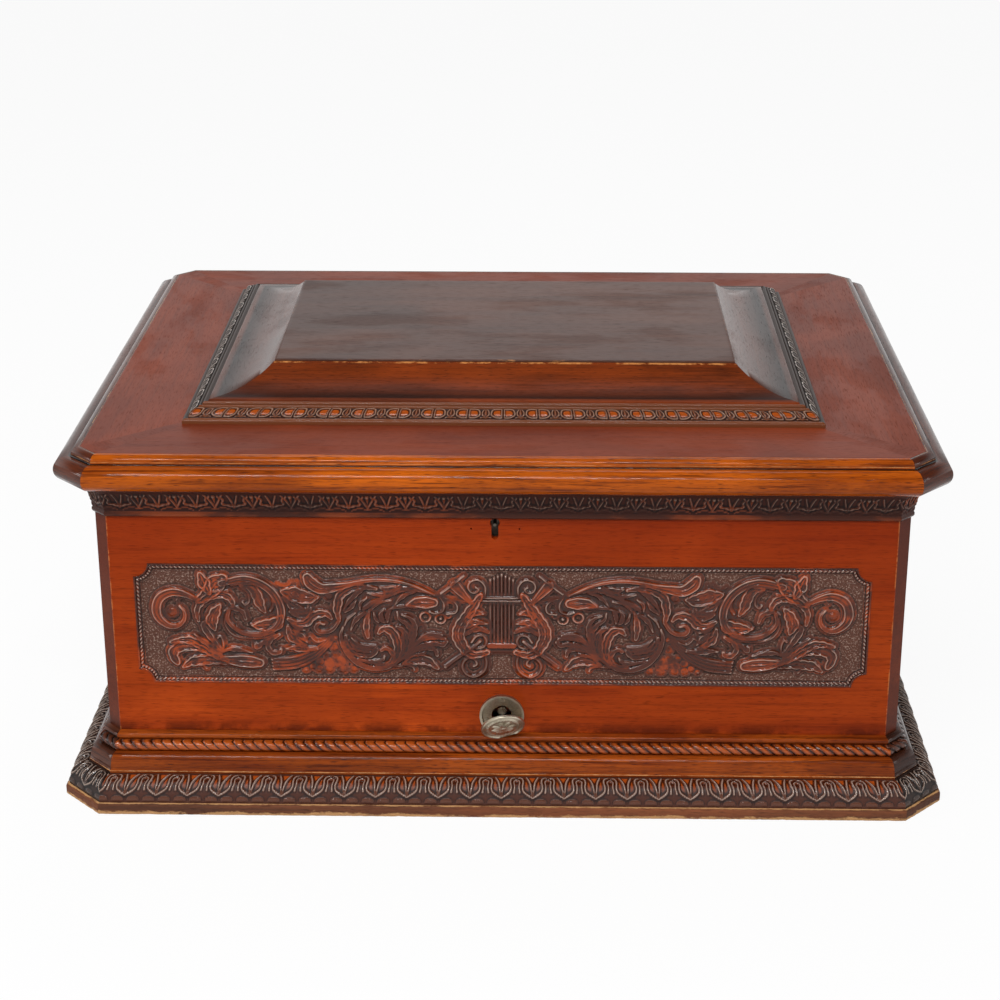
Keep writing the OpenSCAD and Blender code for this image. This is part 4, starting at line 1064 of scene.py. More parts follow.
def ring(name: str, outline: Outline, courses: Sequence[Course],
         step: float | Sequence[float] = 0.0, carver: Carver | None = None,
         angle: float = 40.0, plain_relief: float = 0.0,
         rough: Callable[[np.ndarray], np.ndarray] | None = None) -> bpy.types.Object:
    """Runs a closed section round an outline, mitred at each corner.

    Args:
        name: The piece's name.
        outline: The outline at offset 0.
        courses: The rows of the closed section, up the outside.
        step: Distance between stations, or one for each of front, right, back and left;
            0 for one stretch from corner to corner.
        carver: Gives the carving's height and its warm share: worn polish, and on the leaf ovolo
            painted light.
        angle: Edges sharper than this many degrees stay sharp.
        plain_relief: The relief value of the rows without carving.
        rough: Gives a small change of outward size from the station's number.

    Returns:
        The new object, with its grain, relief, crest, warm and edge attributes, and with a face
        attribute that is 0 on the front stretch and 1 on the others, which take a darker finish
        with painted shade.
    """
    base = np.array([(c.outline or outline).corners(0.0) for c in courses])
    grow = np.array([(c.outline or outline).corners(1.0) for c in courses]) - base
    out = np.array([c.out for c in courses])
    up = np.array([c.up for c in courses])
    widest = base[out.argmax()] + grow[out.argmax()] * out.max()
    steps = [step] * 4 if isinstance(step, (int, float)) else list(step)
    stations = Stations(widest, steps)
    count, rows, side = stations.count, len(courses), stations.side

    before, after = np.roll(np.arange(rows), 1), np.roll(np.arange(rows), -1)
    run_o, run_z = out[after] - out[before], up[after] - up[before]
    size = np.hypot(run_o, run_z) + 1e-9
    place = np.array([c.carved for c in courses])
    depth, relief, crest, warm = stations.carve(carver, place, plain_relief)
    offset = out + depth * (run_z / size)
    height = up + depth * (-run_o / size)
    if rough is not None:
        offset = offset + rough(np.arange(count))[:, None] * (out > out.max() - 1.5)

    following = (side + 1) % base.shape[1]
    first = base[:, side] + grow[:, side] * offset.T[..., None]
    second = base[:, following] + grow[:, following] * offset.T[..., None]
    plan = first + (second - first) * stations.t[None, :, None]
    points = np.concatenate([plan, height.T[..., None]], axis=2).transpose(1, 0, 2)
    i, j = np.meshgrid(np.arange(count), np.arange(rows), indexing="ij")
    i1, j1 = (i + 1) % count, (j + 1) % rows
    faces = np.stack([i * rows + j, i1 * rows + j, i1 * rows + j1, i * rows + j1],
                     axis=-1).reshape(-1, 4)
    made = as_object(name, points.reshape(-1, 3), faces, angle)

    add_grain(made, stations.grain(base + grow * out[:, None, None], up) * MM)
    edge = np.tile([c.edge for c in courses], count)
    for label, values in (("relief", relief), ("crest", crest), ("warm", warm),
                          ("edge", edge)):
        add_values(made, label, values)
    # Face flag for the stretches that take the darker painted-shade finish
    stretch = made.data.attributes.new("painted_shade_side", "INT", "FACE")
    stretch.data.foreach_set("value", np.repeat(side > 0, rows).astype(np.int32))
    return made


Pair = tuple[bpy.types.Material, bpy.types.Material]


def dress(piece: bpy.types.Object, material: bpy.types.Material | Pair, body: str, slot: str,
          *nodes: str) -> None:
    """Gives a piece its finish, its body and the CAD nodes that it stands for.

    Args:
        piece: The new piece.
        material: Its material, or one for the front stretch and a darker one with painted shade
            for the others.
        body: The body that it moves with.
        slot: The record's material slot; not used.
        nodes: The CAD nodes that it replaces.
    """
    piece.data.materials.clear()
    pair = material if isinstance(material, tuple) else (material,)
    for one in pair:
        piece.data.materials.append(one)
    if len(pair) > 1:
        flags = np.zeros(len(piece.data.polygons), np.int32)
        piece.data.attributes["painted_shade_side"].data.foreach_get("value", flags)
        piece.data.polygons.foreach_set("material_index", flags)
    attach(piece, body)
    if nodes:
        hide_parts(*nodes)
    LOG.info("%s: %d faces on %s", piece.name, len(piece.data.polygons), body)


# Sizes shared by the case and the lid

BODY = Outline(332.0, 253.0, 11.0)
STRIP = Outline(266.0, 188.5, 0.0, MIDDLE_Y)


@dataclass
class Finishes:
    """Every finish of the box, made once."""

    front: bpy.types.Material = field(init=False)
    side: bpy.types.Material = field(init=False)
    moulding: Pair = field(init=False)
    nosing: Pair = field(init=False)
    lid_top: bpy.types.Material = field(init=False)
    rope: Pair = field(init=False)
    raised_board: bpy.types.Material = field(init=False)
    cavetto: Pair = field(init=False)
    carving: Pair = field(init=False)
    cove: bpy.types.Material = field(init=False)
    base_carving: Pair = field(init=False)
    panel: bpy.types.Material = field(init=False)
    plinth: bpy.types.Material = field(init=False)
    inside: bpy.types.Material = field(init=False)
    metals: dict[str, bpy.types.Material] = field(init=False)

    @staticmethod
    def pair(front: "PolishedWood | CarvedWood", **changes: object) -> Pair:
        """Builds the finish of a front stretch, and a darker copy for the other stretches, whose
        colours paint the shade on sides turned from the light.
        """
        other = replace(front, name=front.name + " elsewhere", **changes)
        return front.build(), other.build()

    def __post_init__(self) -> None:
        """Builds the materials."""
        red, orange = (0.2, 0.021, 0.002), (0.4, 0.055, 0.005)
        self.front = PolishedWood("Front wall mahogany", times(red, 1.3), times(orange, 1.2),
                                  way=GrainWay.ALONG_X, pore=0.7, streak=0.35,
                                  specular=0.07, shade_and_foot_grime=(60.0, 74.0)).build()
        self.side = PolishedWood("Side wall mahogany", red, orange, way=GrainWay.ALONG_Y,
                                 shade_and_foot_grime=(60.0, 74.0)).build()
        # The second finish of each pair goes on the side stretches and corners: its darker
        # colours are painted shade, and the carved trim's brighter crests there are painted
        # highlights.
        self.moulding = self.pair(
            PolishedWood("Base moulding mahogany", (0.13, 0.017, 0.003), (0.42, 0.085, 0.008),
                         worn=(0.66, 0.32, 0.12), pore=1.0, streak=0.8, wear=0.55,
                         rough=0.16, specular=0.12),
            dark=(0.035, 0.01, 0.005), light=(0.1, 0.028, 0.012), specular=0.22)
        self.nosing = self.pair(
            PolishedWood("Lid edge mahogany", (0.2, 0.03, 0.003), (0.58, 0.12, 0.005),
                         worn=(0.66, 0.3, 0.1), pore=1.0, streak=0.8, wear=0.55,
                         rough=0.11, specular=0.12),
            dark=(0.045, 0.01, 0.005), light=(0.11, 0.025, 0.009), specular=0.22)
        self.lid_top = PolishedWood("Lid top mahogany", (0.14, 0.02, 0.005),
                                    (0.22, 0.036, 0.009), rough=0.36, specular=0.14).build()
        self.raised_board = PolishedWood("Raised board mahogany", (0.045, 0.014, 0.008),
                                         (0.1, 0.032, 0.015), worn=(0.45, 0.2, 0.07),
                                         way=GrainWay.ALONG_X, rough=0.34, specular=0.27,
                                         pore=0.4, wear=0.44).build()
        self.cavetto = self.pair(
            PolishedWood("Cavetto mahogany", (0.06, 0.011, 0.002), (0.25, 0.04, 0.005),
                         worn=(0.62, 0.25, 0.07), rough=0.4, specular=0.06, wear=0.72,
                         pore=0.7),
            dark=(0.045, 0.01, 0.003), light=(0.12, 0.026, 0.007), rough=0.17,
            specular=0.21, wear=0.5, pore=0.35)
        self.carving = self.pair(
            CarvedWood("Carved trim", (0.03, 0.005, 0.001), (0.17, 0.05, 0.018),
                       (0.28, 0.2, 0.15), (0.42, 0.075, 0.004), rub_and_light_low=True, rub=0.85,
                       shine=0.2, specular=0.2, chalk=0.7),
            hollow=(0.01, 0.005, 0.003), body=(0.035, 0.02, 0.015),
            crest=(0.5, 0.44, 0.4), rubbed=(0.04, 0.018, 0.012), chalk=0.9,
            specular=0.1, shine=0.34)
        self.cove = CarvedWood("Carved cove", (0.045, 0.007, 0.002), (0.06, 0.012, 0.004),
                               (0.3, 0.19, 0.14), (0.34, 0.06, 0.01), rub=0.7,
                               shine=0.2, specular=0.2).build()
        self.rope = self.pair(
            CarvedWood("Carved rope", (0.014, 0.003, 0.001), (0.12, 0.02, 0.004),
                       (0.44, 0.36, 0.31), (0.46, 0.09, 0.01), rub=0.8, shine=0.14,
                       specular=0.4, chalk=0.85),
            body=(0.04, 0.013, 0.007), rubbed=(0.1, 0.025, 0.01), specular=0.3)
        self.base_carving = self.pair(
            CarvedWood("Carved base ovolo", (0.06, 0.014, 0.006), (0.11, 0.034, 0.016),
                       (0.5, 0.38, 0.31), (0.46, 0.08, 0.007), rub_and_light_low=True, shine=0.16,
                       specular=0.35, chalk=0.5),
            hollow=(0.02, 0.008, 0.005), body=(0.045, 0.022, 0.015),
            rubbed=(0.06, 0.02, 0.01))
        self.panel = CarvedWood("Carved panel", (0.12, 0.042, 0.024), (0.078, 0.013, 0.003),
                                (0.55, 0.4, 0.32), (0.36, 0.048, 0.002), rub=0.9, shine=0.14,
                                chalk=0.5, specular=0.34, punched=True).build()
        self.plinth = RoughBoard().build()
        self.inside = PolishedWood("Lining wood", (0.3, 0.15, 0.07), (0.46, 0.26, 0.14),
                                   way=GrainWay.ALONG_X, rough=0.5).build()
        metals = [
            AgedMetal("Old nickel", (0.52, 0.46, 0.36), (0.27, 0.23, 0.16), 0.34, 0.5),
            AgedMetal("Lacquered brass", (0.72, 0.5, 0.2), (0.5, 0.33, 0.12), 0.26),
            AgedMetal("Gilt casting", (0.66, 0.47, 0.2), (0.45, 0.3, 0.12), 0.42, cast=True),
            AgedMetal("Polished steel", (0.58, 0.58, 0.58), (0.4, 0.4, 0.4), 0.24),
            AgedMetal("Comb steel", (0.62, 0.63, 0.65), (0.48, 0.48, 0.5), 0.2),
            AgedMetal("Blued steel", (0.06, 0.09, 0.22), (0.03, 0.04, 0.1), 0.25),
            AgedMetal("Rolled disc steel", (0.5, 0.49, 0.47), (0.4, 0.385, 0.36), 0.42,
                      scratch=0.15),
            # Dark iron, made darker still as painted shade for the keyhole
            AgedMetal("Lock iron darkened as keyhole shade", (0.12, 0.1, 0.08), (0.05, 0.04, 0.035), 0.45),
            AgedMetal("Painted cast iron", (0.035, 0.05, 0.045), (0.02, 0.028, 0.025), 0.45,
                      metallic=0.0, cast=True),
        ]
        slots = ["old_nickel", "brass", "gilt_brass", "steel", "comb_steel", "blued_steel",
                 "disc_steel", "dark_lock", "cast_iron"]
        self.metals = {slot: metal.build() for slot, metal in zip(slots, metals)}


@dataclass(frozen=True)
class Lamp:
    """A soft flat lamp that points at the box; places and sizes in metres."""

    name: str
    at: tuple[float, float, float]
    size: Point
    power: float
    target: tuple[float, float, float] = (0.0, 0.0, 0.2)

    def hang(self) -> None:
        """Makes the lamp."""
        data = bpy.data.lights.new(self.name, "AREA")
        data.shape = "RECTANGLE"
        data.size, data.size_y = self.size
        data.energy = self.power
        lamp = bpy.data.objects.new(self.name, data)
        lamp.location = self.at
        aim = np.array(self.target) - np.array(self.at)
        lamp.rotation_euler = (math.atan2(math.hypot(aim[0], aim[1]), -aim[2]), 0.0,
                               math.atan2(aim[1], aim[0]) - math.pi / 2)
        bpy.context.scene.collection.objects.link(lamp)


@dataclass
class Studio:
    """Camera, floor and soft light."""

    camera_at: tuple[float, float, float] = (32.31, -1834.08, 921.76)
    yaw: float = -0.977
    pitch: float = 20.169
    lens: float = 76.343
    sensor: float = 36.0
    shift: Point = (-0.00824, -0.0816)
    floor_size: float = 60.0
    floor_grey: float = 0.86
    floor_white: float = 0.93
    surround: float = 0.26
    lamps: tuple[Lamp, ...] = (
        Lamp("Key lamp", (-0.45, -1.9, 2.35), (1.9, 0.14), 56.0),
        Lamp("Back lamp", (0.0, 1.2, 2.3), (1.2, 0.6), 12.0),
        Lamp("Left lamp", (-2.2, -0.9, 1.3), (0.4, 0.9), 11.0),
        Lamp("Right lamp", (2.2, -0.9, 1.3), (0.4, 0.9), 8.0))

    def camera(self) -> None:
        """Places the camera at the photograph's viewing angle."""
        data = bpy.data.cameras.new("Camera")
        data.lens = self.lens
        data.sensor_width = self.sensor
        data.shift_x, data.shift_y = self.shift
        camera = bpy.data.objects.new("Camera", data)
        camera.location = [MM * c for c in self.camera_at]
        camera.rotation_euler = (math.radians(90 - self.pitch), 0.0, -math.radians(self.yaw))
        bpy.context.scene.collection.objects.link(camera)
        bpy.context.scene.camera = camera

    def floor(self) -> None:
        """Lays the pale floor; the camera sees it white, with the box's shadow on it."""
        half = self.floor_size / 2
        mesh = bpy.data.meshes.new("Floor")
        mesh.from_pydata([(-half, -half, 0), (half, -half, 0), (half, half, 0),
                          (-half, half, 0)], [], [(0, 1, 2, 3)])
        floor = bpy.data.objects.new("Floor", mesh)
        bpy.context.scene.collection.objects.link(floor)
        material, graph, shader = surface("Studio floor", 0.9, specular=0.1)
        graph.feed(shader.inputs["Base Color"], (self.floor_grey,) * 3)
        white = graph.node("Emission")
        share = graph.math("MULTIPLY", graph.seen(), self.floor_white)
        blend = graph.fed("MixShader", {0: share, 1: shader.outputs[0], 2: white.outputs[0]})
        end = material.node_tree.nodes["Material Output"]
        graph.feed(end.inputs["Surface"], blend.outputs[0])
        mesh.materials.append(material)

    def backdrop(self) -> None:
        """Surrounds the box with pale light, which the camera sees white."""
        world = bpy.data.worlds.new("Pale surround")
        bpy.context.scene.world = world
        world.use_nodes = True
        graph = Graph(world.node_tree)
        soft = world.node_tree.nodes["Background"]
        graph.feed(soft.inputs["Color"], (1.0, 1.0, 1.0))
        graph.feed(soft.inputs["Strength"], self.surround)
        up = graph.axes(graph.node("TexCoord").outputs["Generated"])[2]
        dimmed = graph.math("MULTIPLY", graph.band(up, 0.3, 0.65), 0.85)
        white = graph.fed("Background", {"Color": (1.0, 1.0, 1.0),
                                         "Strength": graph.math("SUBTRACT", 1.0, dimmed)})
        blend = graph.fed("MixShader", {0: graph.seen(), 1: soft.outputs[0],
                                        2: white.outputs[0]})
        graph.feed(world.node_tree.nodes["World Output"].inputs["Surface"], blend.outputs[0])
        bpy.context.scene.view_settings.view_transform = "Standard"

    def build(self) -> None:
        """Makes the whole studio."""
        self.camera()
        self.floor()
        for lamp in self.lamps:
            lamp.hang()
        self.backdrop()


@dataclass
class Base:
    """Plinth board, carved ovolo, plain bands and rope round the foot of the case."""

    finish: Finishes
    board_out: float = 38.0
    board_top: float = 10.0
    leaf_out: float = 35.0
    leaf_top: float = 28.5
    leaf_pitch: float = 26.2
    band_out: float = 18.0
    band_top: float = 44.0
    rope_top: float = 52.6
    rope_pitch: float = 8.6
    rope_r: float = 4.3
    ledge: float = 60.0

    def board(self) -> None:
        """Makes the plinth board with its knocked edge."""
        inner = Outline(BODY.half_width - BODY.half_depth, 0.02, 0.01)
        o, t = self.board_out, self.board_top
        section = [Course(0, 0.0, outline=inner)] + plain(
            [(o - 3, 0.0), (o - 0.9, 0.2), (o - 0.3, 0.9), (o, 2.0), (o, t / 2), (o, t - 1.6),
             (o - 0.4, t - 0.5), (o - 1.4, t), (o - 4, t)], 1.0) + [
                 Course(0, t, outline=inner)]
        for row, worn in ((5, 0.6), (6, 0.45), (7, 0.6), (1, 0.0)):
            section[row].edge = worn
        draw, count = np.random.default_rng(11), 3000
        chips = np.abs(np.convolve(draw.normal(0, 1, count), np.ones(4) / 4, "same")) * 0.5
        piece = ring("plinth_board_worn", BODY, section, 1.6, None, 50.0,
                     rough=lambda i: -chips[i % count])
        dress(piece, self.finish.plinth, "case", "plinth_wood", "plinth_board")

    def leaves(self) -> None:
        """Makes the ovolo with its tulip leaves and tongues."""
        curve = arc((20.0, 12.0), (14.5, 15.5), 2, 90, 22)
        unit = Repeat(self.leaf_pitch, length_of(curve), 1.9)
        half = self.leaf_pitch / 2
        unit.line([(0.2, 4.6), (4.4, 7.0), (7.6, 9.8), (8.4, 13.5), (7.7, 18.0),
                   (8.9, 21.4), (half, 23.0)], (2.2, 2.0, 1.9, 1.9))
        unit.line([(half - 2.5, 8.5), (half - 1.9, 14), (half - 2.5, 18), (half, 20.2)],
                  (2.0, 1.7, 1.8), top=0.85)
        unit.line([(0.5, 6.2), (1.2, 12.0), (2.2, 17.0), (4.9, 23.0)], (1.8, 2.1, 1.7))
        unit.line([(4.6, 0.2), (8.4, 0.2)], 6.6, top=0.62)
        unit.line([(-2, 24.0), (half + 2, 24.0)], 1.1, top=0.9)

        def leaf(u: np.ndarray, v: np.ndarray) -> tuple[np.ndarray, np.ndarray]:
            """Gives the leaves, and paints light on the ovolo between them, warmer red towards
            its up-facing top.
            """
            return unit.height(u, v)[0], np.clip((v - 9.0) / 9.0, 0, 1)

        out, low, top = self.leaf_out, self.board_top, self.leaf_top
        section = plain([(0, low), (out, low), (out, 11.6)]) + carved(curve) + plain(
            [(18.5, 27.5), (18.5, top), (0, top)])
        piece = ring("leaf_ovolo", BODY, section, (0.5, 0.75, 1.0, 0.75), leaf, 75.0)
        dress(piece, self.finish.base_carving, "case", "carved_mahogany", "leaf_moulding")

    def bands(self) -> None:
        """Makes the plain ovolo and the bead under the wall."""
        out, low, top = self.band_out, self.leaf_top, self.band_top
        lower = (plain([(0, low), (out, low)]) + plain([(out, 29.4)], 0.5)
                 + plain([(out, 30.4)], 1.0) + plain([(17.5, 31.0)], 0.4)
                 + plain(arc((10.5, 31.0), (6.7, 13.0), 2, 90, 16) + [(0, top)]))
        upper = (plain([(0, self.rope_top), (3.2, self.rope_top), (3.2, 54.0)])
                 + plain(arc((3.2, 56.4), (2.2, 2.4), -90, 90, 12), 0.55)
                 + plain([(1.4, self.ledge), (0, self.ledge)]))
        for name, section in (("base_ovolo", lower), ("base_bead", upper)):
            dress(ring(name, BODY, section, 12.0), self.finish.moulding, "case", "mahogany",
                  "base_bands")

    def rope(self) -> None:
        """Makes the twisted rope moulding."""
        middle = (5.7, (self.band_top + self.rope_top) / 2)
        around = carved(arc(middle, (self.rope_r, self.rope_r), -90, 90, 18))
        section = plain([(0, self.band_top)]) + around + plain([(0, self.rope_top)])
        piece = ring("rope_band", BODY, section, (0.6, 0.9, 1.0, 0.9), self.twist, 80.0)
        dress(piece, self.finish.rope, "case", "carved_mahogany", "rope_moulding")

    def twist(self, u: np.ndarray, v: np.ndarray) -> tuple[np.ndarray, np.ndarray]:
        """Carves strands that lean back to the left as they rise.

        Args:
            u: Places along the rope.
            v: Places up its outside.

        Returns:
            Heights in millimetres, and the rubbed share.
        """
        turn = ((u + 0.95 * v) / self.rope_pitch) % 1.0
        phase = np.abs(turn - 0.5) * 2
        strand = np.sqrt(np.clip(1 - phase ** 2.2, 0, 1))
        lip = 0.7 * np.exp(-((turn - 0.17) / 0.07) ** 2)
        return 1.7 * (strand - 1.0) + lip, np.clip(1.3 - phase * 2.0, 0, 1)

    def build(self) -> None:
        """Makes every course of the base."""
        self.board()
        self.leaves()
        self.bands()
        self.rope()


@dataclass
class Frieze:
    """The carved cove under the lid."""

    finish: Finishes
    foot: float = 255.0
    top: float = 284.4
    pitch: float = 31.3

    def build(self) -> None:
        """Makes the cove with its darts and fleurs."""
        curve = arc((12.5, 260.0), (10.5, 20.0), 180, 100, 22)
        unit = Repeat(self.pitch, length_of(curve), 1.6)
        half = self.pitch / 2
        unit.line([(4.0, 17.0), (0.3, 5.0)], (1.6, 1.9))
        unit.line([(0.3, 4.6), (5.0, 6.0), (9.6, 7.4), (8.4, 11.0), (9.7, 14.4),
                   (8.3, 17.0)], (2.2, 2.0, 2.1, 1.6))
        unit.line([(half - 3.4, 15.6), (half - 4.6, 12.6), (half - 2.6, 8.6),
                   (half, 4.0)], (1.8, 1.9, 2.1))
        unit.line([(half, 15.6), (half, 15.0)], 3.2, top=1.1, mirror=False)
        unit.line([(half, 13.0), (half, 7.0)], (2.6, 0.8), top=0.6, mirror=False, warm=0.5)
        unit.line([(2.4, 1.6), (8.6, 3.6), (half, 2.4)], 1.4, top=0.8)
        section = plain([(0, self.foot), (1.6, self.foot), (2.4, 256.4), (2.4, 258.2),
                         (1.6, 259.4)]) + carved(curve) + plain(
            [(13.2, 281.0), (14.0, 281.3), (14.0, self.top), (0, self.top)])
        piece = ring("frieze_cove", BODY, section, (0.5, 0.8, 1.0, 0.8), unit.height, 75.0,
                     plain_relief=0.4)
        dress(piece, self.finish.cove, "case", "carved_mahogany", "frieze_moulding")


@dataclass
class Lid:
    """Lid frame with its half round edge, carved strip, cavetto and raised board."""

    finish: Finishes
    rim: float = 284.5
    top: float = 312.0
    board_top: float = 346.0
    board_t: float = 9.0
    strip_foot: float = -19.5
    strip_pitch: float = 29.6
    # The pockets under the frame, for the hinges and the link plate
    hinge_x: float = 215.0
    hinge_w: float = 70.0
    hinge_y: float = 272.0
    hinge_deep: float = 289.7
    lock_from: Point = (-37.5, -247.0)
    lock_to: Point = (26.5, -234.0)
    below: float = 280.0

    def frame_board(self) -> None:
        """Makes the mitred lid frame, with its hinge and lock pockets."""
        well = Outline(235.0, 159.0, 1.0, MIDDLE_Y)
        edge = arc((18.5, 295.0), (10.5, 10.5), -75, 75, 26)
        ovolo = arc((9.1, 306.5), (6.0, 5.5), 15, 90, 10)
        section = ([Course(0, self.rim, outline=well)] + plain([(18.5, self.rim)])
                   + plain(edge, 0.15) + plain([(17.7, 305.3)], 0.2)
                   # Painted shade in the groove between the half round edge and the ovolo: edge
                   # values below 0.
                   + plain([(16.6, 305.0), (15.7, 304.8), (15.3, 305.2)], -1.0)
                   + plain([(15.1, 305.9)], -0.6) + plain([(15.0, 306.9)], 1.0)
                   + plain(ovolo, 0.2) + plain([(8.6, 311.8)], 0.9)
                   + plain([(7.6, self.top), (5.5, self.top)])
                   + [Course(0, self.top, outline=well)])
        piece = ring("lid_frame_board", BODY, section, 30.0)
        for box in self.pockets():
            cut_box(piece, box)
        dress(piece, self.finish.nosing, "lid", "polished_mahogany", "lid_frame")
        flat = len(piece.data.materials)
        piece.data.materials.append(self.finish.lid_top)
        for face in piece.data.polygons:
            upper = face.normal.z > 0.999 and face.center.z > (self.top - 0.1) * MM
            under = face.normal.z < -0.999 and face.center.z < (self.rim + 0.1) * MM
            if upper or under:
                face.material_index = flat

    def pockets(self) -> list[Box]:
        """Lists the boxes that the hinges and the link plate need in the frame.

        Returns:
            The lowest and highest corner of each.
        """
        found = []
        for s in (-1, 1):
            middle, half = s * self.hinge_x, self.hinge_w / 2
            left, right = middle - half, middle + half
            found.append(((left, self.hinge_y - 26, self.below),
                          (right, self.hinge_y, self.rim + 2.5)))
            found.append(((left - 0.3, self.hinge_y - 5.2, self.below),
                          (right + 0.3, self.hinge_y + 12.0, self.hinge_deep)))
        found.append(((*self.lock_from, self.below), (*self.lock_to, self.rim + 1.5)))
        return found

    def strip(self) -> None:
        """Makes the carved strip round the raised part, between its beads."""
        band = arc((-12.6, 314.6), (8.0, 8.0), 12, 82, 17)
        tall = length_of(band)
        unit = Repeat(self.strip_pitch, tall, 1.25)
        half, mid = self.strip_pitch / 2, tall / 2
        unit.line([(3.6, mid), (6.4, mid)], (7.4, 6.0), top=0.1, warm=1.0)
        unit.line([(half, 3.0), (half, tall - 3.2)], (4.6, 3.0), top=0.1, mirror=False,
                  warm=0.8)
        unit.line([(1.1, 0.9), (1.1, tall - 0.9)], 1.0, top=0.9)
        unit.line([(1.6, 0.9), (6.2, 1.1), (9.6, 3.0), (10.0, mid), (8.6, tall - 2.0),
                   (5.6, tall - 0.9), (1.6, tall - 0.9)], (1.2, 1.4, 1.7, 1.5, 1.2))
        unit.line([(half - 0.9, 2.0), (half - 2.6, 3.2), (half - 2.9, mid + 0.6),
                   (half - 1.2, tall - 1.0)], (1.0, 1.5, 1.3, 1.0))
        unit.line([(half - 4.4, 0.9), (half - 2.4, 1.2), (half, 0.8)], 1.0, top=0.85)
        unit.line([(half, mid - 1.4), (half, tall - 1.4)], (0.8, 1.2), top=0.8, mirror=False)
        section = (plain([(self.strip_foot, self.top), (0, self.top), (0, 313.4)]
                         + arc((-2.5, 314.0), (2.5, 2.2), -10, 115, 9))
                   + plain([(-4.1, 315.5), (-4.5, 315.6)], -0.6) + carved(band)
                   + plain([(-11.9, 321.9), (-12.3, 322.0)], -0.8)
                   + plain(arc((-13.6, 322.9), (1.3, 1.4), 0, 172, 6))
                   + plain([(-15.1, 322.6), (-15.3, 323.0)], -0.8)
                   + plain(arc((-17.2, 324.5), (1.9, 1.7), -25, 150, 6)
                           + [(self.strip_foot, 325.2)]))
        piece = ring("carved_strip", STRIP, section, (0.45, 0.7, 1.0, 0.7), unit.height,
                     75.0, plain_relief=0.6)
        dress(piece, self.finish.carving, "lid", "carved_mahogany", "lid_strip")

    def cavetto(self) -> None:
        """Makes the concave sides of the raised part, with painted shade towards the foot and
        worn at the top.
        """
        hollow, radii = (-27.0, 387.4), (60.4, 60.4)
        section = (plain([(-40.5, self.top), (self.strip_foot, self.top),
                          (self.strip_foot, 324.0)] + arc((-21.0, 325.2), (1.5, 1.5), 0, 90, 5))
                   # Painted shade: the edge value rises from -0.8 at the foot to 0 up the hollow,
                   # so the hollow darkens towards its foot.
                   + [Course(o, z, edge=-0.8 + 0.047 * k)
                      for k, (o, z) in enumerate(arc(hollow, radii, 270, 228, 17))]
                   + plain(arc(hollow, radii, 227, 225.5, 3), 0.62)
                   + plain([(-70.9, 344.0), (-71.0, 337.0), (-80.0, 337.0),
                            (-80.0, 330.0), (-45.5, 317.0)]))
        piece = ring("cavetto_sides", STRIP, section, 24.0)
        dress(piece, self.finish.cavetto, "lid", "polished_mahogany", "lid_cavetto")

    def raised_board(self) -> None:
        """Makes the board on top, with its small worn edge."""
        outline = Outline(196.0, 118.5, 0.0, MIDDLE_Y)
        inner = Outline(outline.half_width - outline.half_depth, 0.01, 0.0, MIDDLE_Y)
        z, under = self.board_top, self.board_top - self.board_t
        section = ([Course(0, under, outline=inner)] + plain([(-1.0, under), (-1.0, z - 2.0)])
                   + plain([(0.0, z - 1.7)] + arc((-1.0, z - 1.0), (1.0, 1.0), 0, 90, 5), 0.8)
                   + plain([(-2.6, z)]) + [Course(0, z, outline=inner)])
        piece = ring("raised_board", outline, section, 24.0)
        dress(piece, self.finish.raised_board, "lid", "polished_mahogany", "lid_crown_board")

    def build(self) -> None:
        """Makes the lid's wooden pieces."""
        self.frame_board()
        self.strip()
        self.cavetto()
        self.raised_board()


def cut_box(piece: bpy.types.Object, box: Box) -> None:
    """Cuts a box out of a piece.

    Args:
        piece: The piece.
        box: The box's lowest and highest corner.
    """
    corners = [(x, y, z) for x in (box[0][0], box[1][0]) for y in (box[0][1], box[1][1])
               for z in (box[0][2], box[1][2])]
    faces = [(0, 1, 3, 2), (4, 6, 7, 5), (0, 4, 5, 1), (2, 3, 7, 6), (0, 2, 6, 4),
             (1, 5, 7, 3)]
    cutter = as_object("cutter", np.array(corners), faces)
    cut = piece.modifiers.new("cut", "BOOLEAN")
    cut.operation = "DIFFERENCE"
    cut.solver = "EXACT"
    cut.object = cutter
    shown = piece.evaluated_get(bpy.context.evaluated_depsgraph_get())
    mesh = bpy.data.meshes.new_from_object(shown)
    piece.modifiers.clear()
    old, piece.data = piece.data, mesh
    bpy.data.meshes.remove(old)
    bpy.data.objects.remove(cutter)


@dataclass
class Stroke:
    """One carved stroke of the panel's left half."""

    widths: Sequence[float] | float
    points: Sequence[Point]
    form: Rib = Rib.LEAF
    top: float = 2.2
    warm: float = 0.0


BAND, LEAF, ROUND = Rib.BAND, Rib.LEAF, Rib.ROUND

